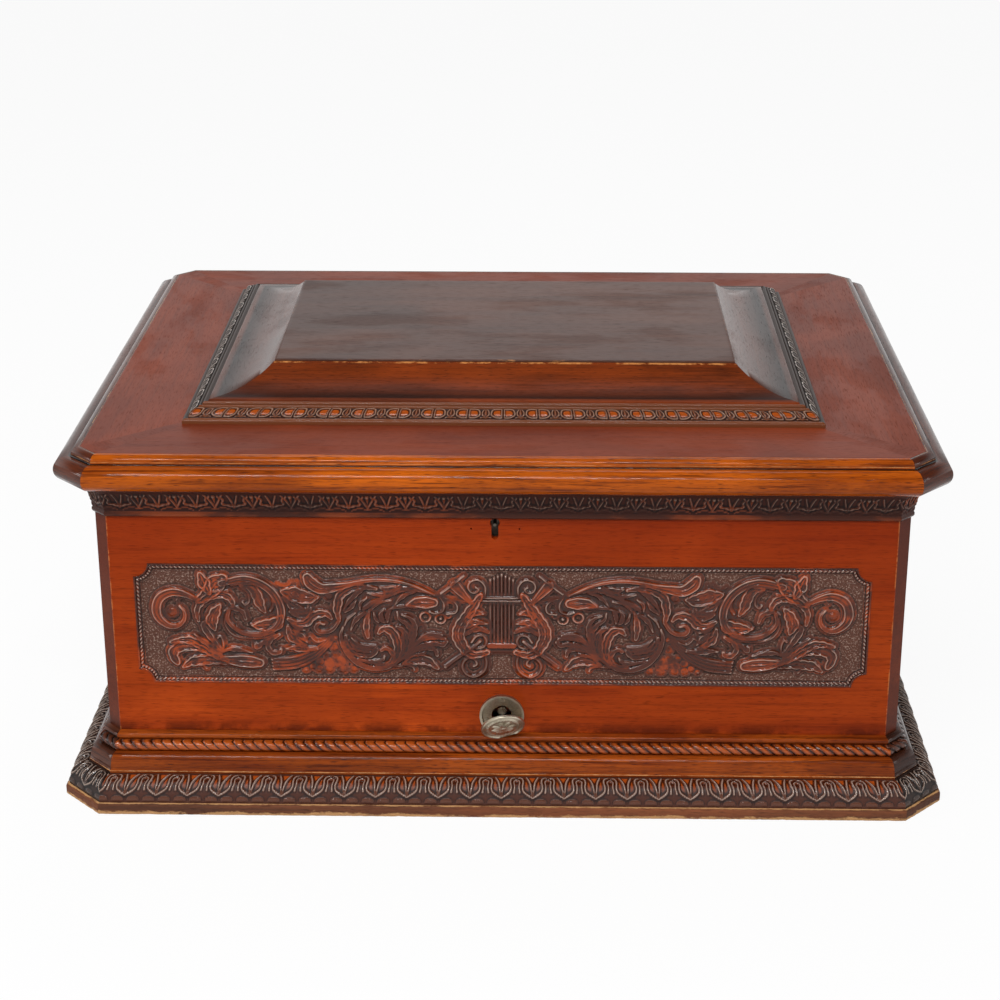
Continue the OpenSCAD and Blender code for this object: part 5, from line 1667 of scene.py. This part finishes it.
# The scrolls and leaves of the panel's left half, in millimetres from its middle
SCROLLS: tuple[Stroke, ...] = (
    # Volute at the outer end, and the calyx beside it
    Stroke((5, 8, 9, 9, 7, 5, 4, 3), [(-250, 22), (-262, 27.5), (-272, 28.5), (-281, 23.5),
           (-284.5, 14), (-282.5, 5), (-275, -1.5), (-267, -1.5), (-262, 4), (-261.5, 11),
           (-265, 16)], BAND, 2.4, 0.7),
    Stroke(8.4, [(-271.8, 10.6), (-271.6, 10.6)], ROUND, 2.2, 0.6),
    Stroke(2, [(-267.5, 21.5), (-263, 27.5)], ROUND),
    Stroke((5, 9, 12, 7), [(-250, 21), (-240, 29), (-235, 36), (-229, 41)], LEAF, 2.5, 1.0),
    Stroke((4, 8, 4), [(-240, 28), (-244, 37), (-247, 45)], LEAF, 2.6, 1.0),
    # First scroll
    Stroke((7, 8, 8, 6, 5, 4), [(-230, 37), (-214, 41), (-203, 39.5), (-193, 34), (-186, 26),
           (-182, 16), (-182, 6), (-186, -2), (-194, -7.5), (-203, -9.5), (-213, -8), (-222, -2),
           (-226, 5), (-224.5, 13)], BAND, 2.5, 0.4),
    Stroke(4, [(-222, 35), (-206, 38.5), (-194, 33.5), (-188.5, 24), (-188, 17), (-190.5, 12.5)],
           ROUND, 2.0),
    Stroke((3, 7, 7, 3), [(-214, 35), (-205, 33), (-201, 26), (-198.5, 18), (-195, 11.5)], LEAF,
           2.2, 0.6),
    Stroke(3, [(-214, 33), (-208.5, 28), (-207.5, 21), (-211, 17.5), (-213, 20)], ROUND, 2.0),
    Stroke((2, 4, 3), [(-228.5, 12), (-222, 14.5), (-214, 12), (-211, 5)]),
    Stroke(3, [(-227.5, 8.5), (-228.3, 0.7), (-224.7, -7), (-218, -11.4), (-208, -13),
           (-195, -12), (-188, -8)], ROUND, 2.0),
    Stroke(3, [(-218, -1.4), (-216, -5.7), (-209.7, -10.7)], ROUND, 1.8),
    Stroke((3, 9, 8, 2), [(-181, 8), (-186, 1), (-197, -1), (-206, -1)], LEAF, 2.4, 0.8),
    # Leaves round the calyx
    Stroke((3, 5, 6, 5, 3), [(-250, 3), (-251, 12), (-247.5, 19.5), (-240, 25), (-232, 27),
           (-225, 25), (-221.5, 20.5), (-221, 16.5)], LEAF, 2.4, 0.5),
    Stroke(3, [(-232, 29), (-225, 30)], ROUND, 2.2, 0.6),
    Stroke((3, 8, 7, 3), [(-237, -5), (-239, 3), (-236, 11), (-232, 17)], LEAF, 2.3, 0.8),
    Stroke((3, 5, 3), [(-243.6, 2.5), (-246.5, -1), (-243, -8), (-238, -16), (-232.5, -24)]),
    Stroke((2, 4, 3), [(-254, -9.6), (-247, -15), (-239.7, -22), (-233, -28)]),
    Stroke(3, [(-235, -13), (-232.6, -11.4), (-230.5, -17), (-231, -24)], ROUND, 2.0),
    # Lower left fan, and the bud that ends it
    Stroke((3, 6, 6, 4), [(-274, -16.5), (-265, -14.5), (-256, -15.5), (-248, -20.5), (-238, -28),
           (-228, -33)], LEAF, 2.5, 0.5),
    Stroke((5, 7, 7, 5, 3), [(-269.5, -35.5), (-272.5, -29), (-270.5, -23), (-262, -20.5),
           (-252, -21.5), (-242, -26), (-231, -32)], LEAF, 2.3, 0.3),
    Stroke((3, 7, 7, 4), [(-264.5, -39.5), (-258, -35), (-250, -33.5), (-240, -33), (-228, -35)]),
    Stroke(3, [(-245.5, -41), (-248, -38), (-247, -35.5), (-241, -36), (-232, -37.5)], ROUND,
           1.8),
    Stroke((5, 9, 12, 12, 9), [(-232, -31), (-222, -33), (-210, -34), (-201, -35)], BAND, 2.6,
           0.6),
    Stroke((2, 4, 2), [(-232, -26), (-226, -23), (-216, -23.5), (-207, -26)]),
    # Between the two scrolls
    Stroke(2, [(-172.5, 38.5), (-175, 35), (-180, 34.3), (-184, 36)], ROUND, 1.8),
    Stroke(2, [(-168, 38), (-167.5, 33)], ROUND, 1.8),
    Stroke((4, 10, 9, 3), [(-180, 30), (-170, 27.5), (-160, 24.5), (-151.5, 25)], LEAF, 2.3, 0.5),
    Stroke((2, 6, 3), [(-180, 25), (-172, 17.5), (-163.5, 14.5)]),
    Stroke((2, 4, 2), [(-175.4, 15.7), (-169.7, 12), (-164, 11.4), (-160.4, 13.6), (-159, 17)]),
    Stroke((3, 5, 2), [(-174, 12), (-168.3, 8.6), (-161, 7.9), (-157.6, 10.7), (-157, 15)]),
    Stroke((3, 6, 6, 3), [(-176, 5), (-168, 1), (-161, 2), (-155.4, 8), (-150, 10), (-144, 10),
           (-140.4, 6)], LEAF, 2.3, 0.5),
    Stroke((2, 4, 2), [(-174, 0.7), (-168.3, -2.9), (-162.6, -5)]),
    Stroke(1.5, [(-153.3, 13.6), (-149.7, 14.6), (-144, 14.3), (-140.4, 11.4)], ROUND, 1.6),
    Stroke((3, 4.5, 5, 4), [(-146.5, 0.5), (-150.5, 1.5), (-153.5, -2), (-151, -6), (-145, -6.5),
           (-139, -3.5), (-134.5, 3)], BAND, 2.4, 0.4),
    Stroke(2, [(-156, -2), (-152.6, 2.5)], ROUND, 2.0),
    Stroke((3, 6, 2), [(-176.5, -2), (-175, -9), (-170, -15), (-162, -19)], LEAF, 2.2, 0.4),
    Stroke((2, 5, 2), [(-172, -5), (-166, -10), (-161, -16)]),
    Stroke(2.5, [(-161.5, -13), (-158.5, -10.5), (-156, -13.5), (-152, -16), (-146, -14)], ROUND,
           2.0),
    Stroke((2, 5, 3), [(-178.5, -22), (-172, -21.5), (-163, -22.5), (-153, -22)]),
    Stroke((3, 4, 4, 3), [(-184, -9), (-191, -14), (-193.5, -20), (-190, -25.5), (-184.5, -25.5),
           (-183, -23)], LEAF, 2.3, 0.5),
    Stroke((3, 4, 3), [(-193, -14), (-198, -17.5), (-203, -21), (-203.5, -18.5)], LEAF, 2.0),
    # Long leaf over the second scroll
    Stroke((9, 12, 11, 9, 6, 4.5, 4, 4, 3.5, 3, 2), [(-159, 43), (-156, 38), (-148, 33),
           (-138, 34), (-126, 36.5), (-112, 40), (-98, 41), (-84, 39.5), (-72, 36), (-62, 31.5),
           (-55, 28)], BAND, 2.7, 0.7),
    Stroke(8, [(-142.2, 27), (-141.8, 26)], ROUND, 2.2, 0.5),
    # Second scroll
    Stroke((3, 5, 6, 5, 3), [(-131, -2), (-133, -9), (-131.5, -18), (-127, -27), (-119, -35),
           (-108, -39.5), (-97, -39), (-88, -34.5), (-80, -28)], BAND, 2.4),
    Stroke((3, 6, 6, 5, 3), [(-134, 4), (-135.5, 13), (-134.5, 19), (-133, 26), (-125, 32),
           (-114, 34.5), (-103, 33)], LEAF, 2.4, 0.4),
    Stroke(3, [(-138, 21.5), (-135, 24)], ROUND),
    Stroke((2, 4, 3), [(-130.4, 13), (-126, 20.7), (-120.4, 27), (-112, 34)]),
    Stroke((2, 3.5, 2), [(-129, 11.4), (-123.3, 16.4), (-119.7, 22)]),
    Stroke((2, 3, 2), [(-116.5, 14), (-116, 20), (-111, 24.5)]),
    Stroke((2, 3, 3, 2), [(-114, 15.7), (-107, 20.7), (-99.7, 23.6), (-92, 27), (-82, 30.7)]),
    Stroke((2, 2.5, 2), [(-114, 13.6), (-109.7, 16.4), (-104, 21.4), (-97.6, 23.6)]),
    Stroke((2, 3, 2), [(-107.6, 13), (-104.7, 17), (-99.7, 20.7), (-91, 22.5)]),
    Stroke((2, 4, 3), [(-124.5, -4.5), (-121.5, 3), (-117, 8), (-112.5, 11)]),
    Stroke((2, 2.5, 2), [(-129.7, -0.7), (-127, 5), (-120.4, 10.7)]),
    Stroke((3, 5, 4), [(-129, -10), (-128, -19), (-122, -25), (-113, -27.5), (-107, -26.5),
           (-104, -22.5)]),
    Stroke((2, 4, 2), [(-126, -14), (-121, -20.5), (-113, -23), (-107.5, -22)]),
    Stroke((2, 3.5, 2), [(-124, -12), (-118, -18), (-110, -19.5), (-103.5, -19)]),
    Stroke((2, 4, 2), [(-120, -31), (-112, -33), (-105, -34), (-99, -32), (-97, -28.5)]),
    Stroke((3, 4, 3), [(-99.5, -23), (-96, -21), (-91.5, -24), (-90, -30), (-95, -35.5),
           (-104, -37)], LEAF, 2.2, 0.4),
    # Leaves inside the second scroll
    Stroke((2, 5, 3), [(-108.5, 14), (-111, 5), (-111.5, -4), (-110.5, -11)], LEAF, 2.3, 0.5),
    Stroke((2, 3, 2), [(-105.5, 12), (-104, 6), (-101.5, 2.5)]),
    Stroke((2, 4, 2), [(-97, 14.5), (-99.5, 10), (-98.5, 4.5), (-96, 2)]),
    Stroke((2, 4, 2), [(-91, 15), (-94, 9), (-94, 2.5)]),
    Stroke((2, 4, 3), [(-86, 12), (-84.5, 6), (-79, 2), (-75, -4), (-74, -12), (-76, -21)]),
    Stroke((2, 4, 3), [(-82.5, 9.5), (-76, 7), (-72, 1.5), (-71.5, -7), (-74, -18)]),
    Stroke((3, 6, 6, 3), [(-101.5, -7), (-98, -3.5), (-92, -4.5), (-88, -10), (-86, -18),
           (-86.5, -27), (-90, -34)], LEAF, 2.4, 0.5),
    Stroke((3, 5, 3), [(-86.5, -1.5), (-82, -4), (-79, -10), (-78.5, -18), (-81, -27),
           (-87, -34)]),
    Stroke((2, 3.5, 2), [(-82.5, -9), (-81.5, -15), (-82, -23), (-86, -31)]),
    # Fan to the right
    Stroke((2, 3, 3), [(-80, -30), (-74, -21), (-67, -12), (-60, -7.5), (-50, -8.6)]),
    Stroke((2, 3.5, 3), [(-76, -22), (-66, -13.5), (-56, -11), (-47, -12)]),
    Stroke((2, 4, 3), [(-77, -24), (-66, -18), (-56, -16.5), (-49, -17.5), (-45.5, -14.5)]),
    Stroke((2, 4, 3), [(-79, -29), (-70, -22.5), (-61, -20.5), (-55, -22.5), (-53.5, -27)]),
    Stroke((2, 2.5, 2), [(-88.3, -36.4), (-81, -30), (-74, -24.3), (-62, -22.5)]),
    Stroke((2, 3, 2), [(-80, -30.7), (-71, -27), (-63.3, -25)]),
    Stroke((2, 7, 7, 3), [(-82, -35), (-72, -31.5), (-62, -32), (-53, -39)], LEAF, 2.3, 0.3),
    Stroke((2, 2.5, 2), [(-90, -38), (-80, -36.5), (-74, -38), (-72.5, -41)]),
    Stroke(2, [(-70, -4), (-68.5, -1), (-65, 0), (-64.5, -3)], ROUND, 1.8),
    # Pod and rings beside the lyre
    Stroke((3, 10, 12, 9), [(-78, 18.5), (-70, 21), (-62, 21), (-56, 21)], BAND, 2.6, 0.7),
    Stroke((2, 4, 3), [(-50.5, 25), (-47.5, 19.5), (-48.5, 13.5), (-54, 11), (-59.5, 12.5)],
           ROUND, 2.1),
    Stroke((2, 5, 3), [(-100, 34), (-95, 32.5), (-88, 33), (-83, 35)]),
    Stroke((2, 4, 4, 2), [(-110, 29), (-102, 27.5), (-94, 28.5), (-84, 32), (-72, 33),
           (-62, 30.5), (-55, 27)]),
    Stroke((2, 3.5, 2), [(-87.6, 18.6), (-84, 23.6), (-78.3, 28), (-71, 30)]),
    Stroke((2, 3, 2), [(-96, 13), (-88, 16), (-78, 17), (-70, 15.5)]),
)

# The left half of the lyre and its crossed horns
LYRE: tuple[Stroke, ...] = (
    Stroke((10, 8, 5), [(-38, 36), (-32, 29), (-25, 21)], BAND, 2.2, 0.8),
    Stroke(2.4, [(-50, 29), (-40, 37), (-31, 45)], ROUND, 2.8),
    Stroke(1.8, [(-46.5, 24.5), (-34, 22.5), (-25, 20.5)], ROUND, 2.3),
    Stroke((5, 4.5, 4), [(-46.5, -37.5), (-36, -29), (-25, -21), (-18, -14)], ROUND, 2.5),
    Stroke((3, 3, 2), [(-45, 10.5), (-38, 12), (-36.5, 17.5), (-39.5, 22), (-43, 22)], ROUND),
    Stroke((4, 7, 8, 8, 6, 4), [(-17, 28), (-22, 20), (-28, 10), (-34, 0), (-36, -8), (-34, -15),
           (-29, -23), (-22, -26.5), (-12, -24)], LEAF, 2.5, 0.8),
    Stroke((3, 5, 2), [(-30, -2), (-22, 3), (-12, 2)], LEAF, 2.2, 0.7),
    Stroke((3, 5, 2), [(-27, 8), (-21, 12), (-15, 10.7)], LEAF, 2.2, 0.7),
    Stroke((3, 4.5, 3), [(-30, -8), (-24, -4), (-17, -3), (-11, -6)], LEAF, 2.0, 0.4),
    Stroke((3, 4, 4, 3), [(-25, -15), (-21, -9.3), (-15.4, -8.6), (-12.6, -13.6), (-14.7, -18.6),
           (-21, -20.7)], ROUND, 2.4),
    Stroke(3.6, [(-19, -14.3), (-18.8, -14.3)], ROUND, 2.0),
    Stroke((4, 4, 4, 3), [(-14, -25.7), (-12.6, -33), (-14, -40), (-19, -45), (-24.7, -46.4),
           (-30.4, -43), (-32.6, -37), (-30.4, -31.4), (-26, -29.3), (-21.9, -31.4), (-20.8, -35),
           (-23.3, -37)], ROUND, 2.3),
    Stroke(3, [(-14, 26.4), (-13.3, 32), (-14, 36.4), (-17.6, 40.7), (-22, 41.4), (-26, 39.3),
           (-27.6, 35), (-25.4, 30.7), (-21, 30), (-19, 33), (-21, 34.6)], ROUND),
    Stroke(2.6, [(-19, 25.2), (0, 25.2)], ROUND, 2.7),
    Stroke(2.6, [(-19, 22.6), (0, 22.6)], ROUND, 2.7),
    Stroke(5.4, [(-10, -18.2), (0, -18.2)], BAND, 2.2, 0.6),
    Stroke(1.8, [(-9, -24), (0, -24)], ROUND, 1.9),
)


@dataclass
class CarvedPanel:
    """The panel of acanthus scrolls with a lyre in its middle."""

    finish: Finishes
    width: float = 604.0
    height: float = 108.0
    middle_z: float = 159.0
    ground_y: float = -251.8
    back_y: float = -249.0
    notch: float = 12.0
    rope_pitch: float = 3.6
    swell: float = 1.35
    deepen: float = 1.4
    bed: float = 2.4

    def carve(self) -> ReliefGrid:
        """Carves the whole panel.

        Returns:
            The height field, over the panel's full rectangle.
        """
        half_w, half_h = self.width / 2, self.height / 2
        grid = ReliefGrid((-half_w, -half_h), (half_w, half_h), (0.56, 0.6))
        for stroke in SCROLLS + LYRE:
            wider = self.swell if stroke.form is Rib.LEAF else 1.0
            for side in (1, -1):
                grid.stroke([(side * x, z) for x, z in stroke.points],
                            np.array(stroke.widths) * wider, stroke.form,
                            stroke.top * self.deepen, stroke.warm, self.bed)
        berries = [(-151.9, -40.7, 3.5), (-142.6, -35, 6), (-143.3, -40.7, 3.5),
                   (-138.3, -30.7, 4), (-134.7, -34.3, 6), (-131.9, -40.7, 4),
                   (-122.6, -40.7, 3), (-156.9, -38.6, 3), (-162.6, -41.4, 2.5),
                   (-151, -33.6, 4), (-146, -30, 3), (-138.3, -21.4, 3),
                   (-136.8, -12, 2.2)]
        for side in (1, -1):
            self.stem(grid, side)
            for x, z, radius in berries:
                grid.ball(side * x, z, radius, 2.4, 1.0, self.bed)
            for x, z, radius in [(-63, 7.1, 4.2), (-50.4, 5.7, 4.2), (-44, 8.6, 2.2)]:
                grid.loop(side * x, z, radius, 2.2, 2.2, 0.6)
            grid.ball(side * -50.4, 5.7, 1.6, 1.8)
        for n in range(-3, 4):
            top = 45.7 - 1.5 * abs(n)
            grid.stroke([(3.1 * n, -15.5), (3.1 * n, 15), (3.1 * n, top)], 2.7, Rib.ROUND,
                        2.0)
        grid.height = softened(grid.height, 1)
        self.border(grid)
        return grid

    def stem(self, grid: ReliefGrid, side: int) -> None:
        """Carves the ribbed stem that rises towards the second scroll.

        Args:
            grid: The panel's height field.
            side: 1 for the left half, and -1 for its mirror image.
        """
        middle = [(-190, -37), (-172, -35), (-158, -29), (-148, -21), (-141, -12.5),
                  (-134, 0)]
        wide = [12, 12.5, 11, 8, 6, 2]
        for rib in (-1.5, -0.5, 0.5, 1.5):
            line = []
            for n, (x, z) in enumerate(middle):
                a, b = middle[max(n - 1, 0)], middle[min(n + 1, len(middle) - 1)]
                dx, dz = b[0] - a[0], b[1] - a[1]
                size = math.hypot(dx, dz)
                shift = rib * wide[n] / 4
                line.append((side * (x - dz / size * shift), z + dx / size * shift))
            grid.stroke(line, [w / 4 * 1.15 for w in wide], Rib.ROUND, 2.3)

    def border(self, grid: ReliefGrid) -> None:
        """Adds the outer lip and the fine rope inside it, which follow the notches.

        Args:
            grid: The panel's height field.
        """
        gx, gz = np.meshgrid(np.abs(grid.x), np.abs(grid.z))
        half_w, half_h = self.width / 2, self.height / 2
        corner = self.notch - np.hypot(half_w - gx, half_h - gz)
        inside = np.where(corner > 0, 0, np.minimum(half_w - gx, half_h - gz))
        inside = np.minimum(inside, np.maximum(-corner, 0))
        lip = 2.0 * np.sqrt(np.clip(1 - ((inside - 0.4) / 1.1) ** 2, 0, 1))
        lip = np.where(inside < 1.3, lip, 0)
        across = (inside - 3.0) / 1.5
        strands = (gx - gz) / self.rope_pitch
        wave = 0.45 + 0.55 * np.abs(np.cos(math.pi * strands))
        rope = 2.3 * np.sqrt(np.clip(1 - across ** 2, 0, 1)) * wave
        fillet = 0.8 * np.clip(1 - np.abs(inside - 5.6) / 0.8, 0, 1)
        grid.height = np.maximum.reduce([grid.height, lip, rope, fillet])

    def build(self) -> None:
        """Makes the panel as two closed boards with their relief."""
        grid = self.carve()
        crest = 0.5 + (grid.height - softened(grid.height, 14)) / 1.7
        half = len(grid.x) // 2
        self.board(grid, crest, slice(0, half + 1), "carved_panel_left")
        self.board(grid, crest, slice(half, len(grid.x)), "carved_panel_right")

    def board(self, grid: ReliefGrid, crest: np.ndarray, part: slice, name: str) -> None:
        """Makes one half of the panel.

        Args:
            grid: The carving.
            crest: How far each place stands out from those round it.
            part: The columns of the half.
            name: The piece's name.
        """
        height = grid.height[:, part]
        px, pz, keep = self.notched(*np.meshgrid(grid.x[part], grid.z))
        rows, columns = px.shape
        front = np.stack([px, self.ground_y - height, pz + self.middle_z], axis=-1)
        back = np.stack([px, np.full_like(px, self.back_y), pz + self.middle_z], axis=-1)
        number = np.arange(rows * columns).reshape(rows, columns)
        corners = np.stack([number[:-1, :-1], number[:-1, 1:], number[1:, 1:],
                            number[1:, :-1]], axis=-1)
        faces = corners[keep.ravel()[corners].all(axis=-1)]
        edges = np.concatenate([faces[:, [0, 1]], faces[:, [1, 2]], faces[:, [2, 3]],
                                faces[:, [3, 0]]])
        total = rows * columns
        keys = edges[:, 0] * total + edges[:, 1]
        rim = edges[~np.isin(edges[:, 1] * total + edges[:, 0], keys)]
        walls = np.stack([rim[:, 1], rim[:, 0], rim[:, 0] + total, rim[:, 1] + total],
                         axis=-1)
        points = np.concatenate([front.reshape(-1, 3), back.reshape(-1, 3)])
        used = np.zeros(2 * total, bool)
        used[faces.ravel()] = True
        used[walls.ravel()] = True
        number = (np.cumsum(used) - 1)[np.concatenate([faces, walls])]
        made = as_object(name, points[used], number, 75.0)
        blank = np.zeros(total)
        for label, values in (("relief", height / 2.8), ("warm", grid.warm[:, part]),
                              ("crest", crest[:, part])):
            layer = np.concatenate([values.ravel(), blank])[used]
            add_values(made, label, layer.clip(0, 1))
        add_grain(made, points[used][number.ravel()][:, [0, 2, 1]] * MM)
        dress(made, self.finish.panel, "case", "carved_mahogany", "carved_panel")

    def notched(self, gx: np.ndarray,
                gz: np.ndarray) -> tuple[np.ndarray, np.ndarray, np.ndarray]:
        """Fits a grid to the panel's notched corners.

        Args:
            gx: Places across.
            gz: Places upwards.

        Returns:
            The places, moved onto a notch where they are close to it, and which to keep.
        """
        cx, cz = np.copysign(self.width / 2, gx), np.copysign(self.height / 2, gz)
        away = np.hypot(gx - cx, gz - cz)
        keep = away >= self.notch - 0.7
        snap = keep & (away < self.notch + 0.25)
        scale = np.where(snap, self.notch / np.maximum(away, 1e-6), 1.0)
        return cx + (gx - cx) * scale, cz + (gz - cz) * scale, keep


@dataclass
class WindingCover:
    """The ornament on the round cover of the winding hole: a plain rosette in a wreath."""

    finish: Finishes
    foot: float = 16.2
    radius: float = 18.2
    tilt: float = 17.0
    ajar: float = 35.0
    plate_y: float = -2.0
    hinge: tuple[float, float, float] = (4.74, -257.6, 61.51)

    def swell(self, r: np.ndarray, a: np.ndarray) -> np.ndarray:
        """Height of the ornament above the plate.

        Args:
            r: Distance from the middle.
            a: Angle.

        Returns:
            Heights in millimetres.
        """
        dome = 1.35 * np.sqrt(np.clip(1 - (r / 14.5) ** 2, 0, 1)) + 0.15
        petals = np.abs(np.cos(4 * a)) ** 0.7
        reach = 4.0 + 5.2 * petals
        rose = 0.75 * np.sqrt(np.clip(1 - ((r - reach / 2 - 1.2) / (reach / 2)) ** 2, 0, 1))
        rib = 0.25 * np.clip(1 - np.abs(np.sin(4 * a)) * 5, 0, 1) * (r < 9) * (r > 3.6)
        boss = 1.0 * np.sqrt(np.clip(1 - (r / 3.0) ** 2, 0, 1))
        wreath = 0.6 * np.sqrt(np.clip(1 - ((r - 13.2) / 1.5) ** 2, 0, 1)) * (
            0.45 + 0.55 * np.abs(np.cos(15 * a + r)))
        bead = 0.9 * np.sqrt(np.clip(1 - ((r - 17.1) / 1.0) ** 2, 0, 1))
        line = 0.35 * np.clip(1 - np.abs(r - 15.4) / 0.4, 0, 1)
        return np.maximum.reduce([dome + np.maximum(rose, boss) - rib, wreath + dome,
                                  bead + 0.15, line + 0.15, np.full_like(r, 0.15)])

    def build(self) -> None:
        """Makes the ornament and stands it on the cover, which hangs ajar."""
        rings, turns = 60, 160
        r = np.linspace(0.05, self.radius, rings)
        a = np.arange(turns) * 2 * math.pi / turns
        rr, aa = np.meshgrid(r, a)
        x = rr * np.cos(aa)
        z = np.maximum(rr * np.sin(aa), 1.2 - self.foot) + self.foot
        front = np.stack([x, self.plate_y - self.swell(rr, aa), z], axis=-1)
        back = np.stack([x, np.full_like(x, self.plate_y + 0.3), z], axis=-1)
        points = np.concatenate([front.reshape(-1, 3), back.reshape(-1, 3)])
        total = rings * turns
        faces: list[tuple[int, ...]] = []
        for i in range(turns):
            k = (i + 1) % turns
            for j in range(rings - 1):
                a0, a1 = i * rings + j, i * rings + j + 1
                b0, b1 = k * rings + j, k * rings + j + 1
                faces.append((a0, a1, b1, b0))
                faces.append((b0 + total, b1 + total, a1 + total, a0 + total))
            a1, b1 = i * rings + rings - 1, k * rings + rings - 1
            faces.append((a1, a1 + total, b1 + total, b1))
        faces.append(tuple(i * rings for i in range(turns)))
        faces.append(tuple(i * rings + total for i in reversed(range(turns))))
        lean, swing = math.radians(-self.tilt), math.radians(self.ajar)
        about_x = np.array([[1, 0, 0], [0, math.cos(swing), -math.sin(swing)],
                            [0, math.sin(swing), math.cos(swing)]])
        about_y = np.array([[math.cos(lean), 0, math.sin(lean)], [0, 1, 0],
                            [-math.sin(lean), 0, math.cos(lean)]])
        placed = points @ (about_y @ about_x).T + np.array(self.hinge)
        made = as_object("cover_rosette", placed, faces, 60.0)
        dress(made, self.finish.metals["old_nickel"], "winding_flap", "old_nickel")


def dress_cad_nodes(finish: Finishes) -> None:
    """Gives every CAD node that stays the finish of its slot.

    Args:
        finish: The finishes.
    """
    woods = {"front_wall": finish.front, "back_wall": finish.front,
             "left_wall": finish.side, "right_wall": finish.side,
             "lid_lining": finish.inside}
    for part in frame["record"]["subparts"]:
        node = frame["nodes"][part["node"]]
        material = woods.get(part["node"]) or finish.metals.get(part["material_slot"])
        # The lock behind the keyhole gets dark iron, darker than the metal would be, so that the
        # keyhole reads as a shaded hole: painted shade.
        if part["node"] in ("lock_case", "lock_bolt"):
            material = finish.metals["dark_lock"]
        if material is None:
            continue
        if not node.material_slots:
            node.data.materials.append(material)
        for place in node.material_slots:
            place.material = material


def main() -> None:
    """Builds the studio, the finishes and every piece."""
    logging.basicConfig(level=logging.INFO, format="%(message)s")
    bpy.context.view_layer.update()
    Studio().build()
    finish = Finishes()
    dress_cad_nodes(finish)
    for assembly in (Base, Frieze, CarvedPanel, WindingCover, Lid):
        assembly(finish).build()


if __name__ == "__main__":
    main()
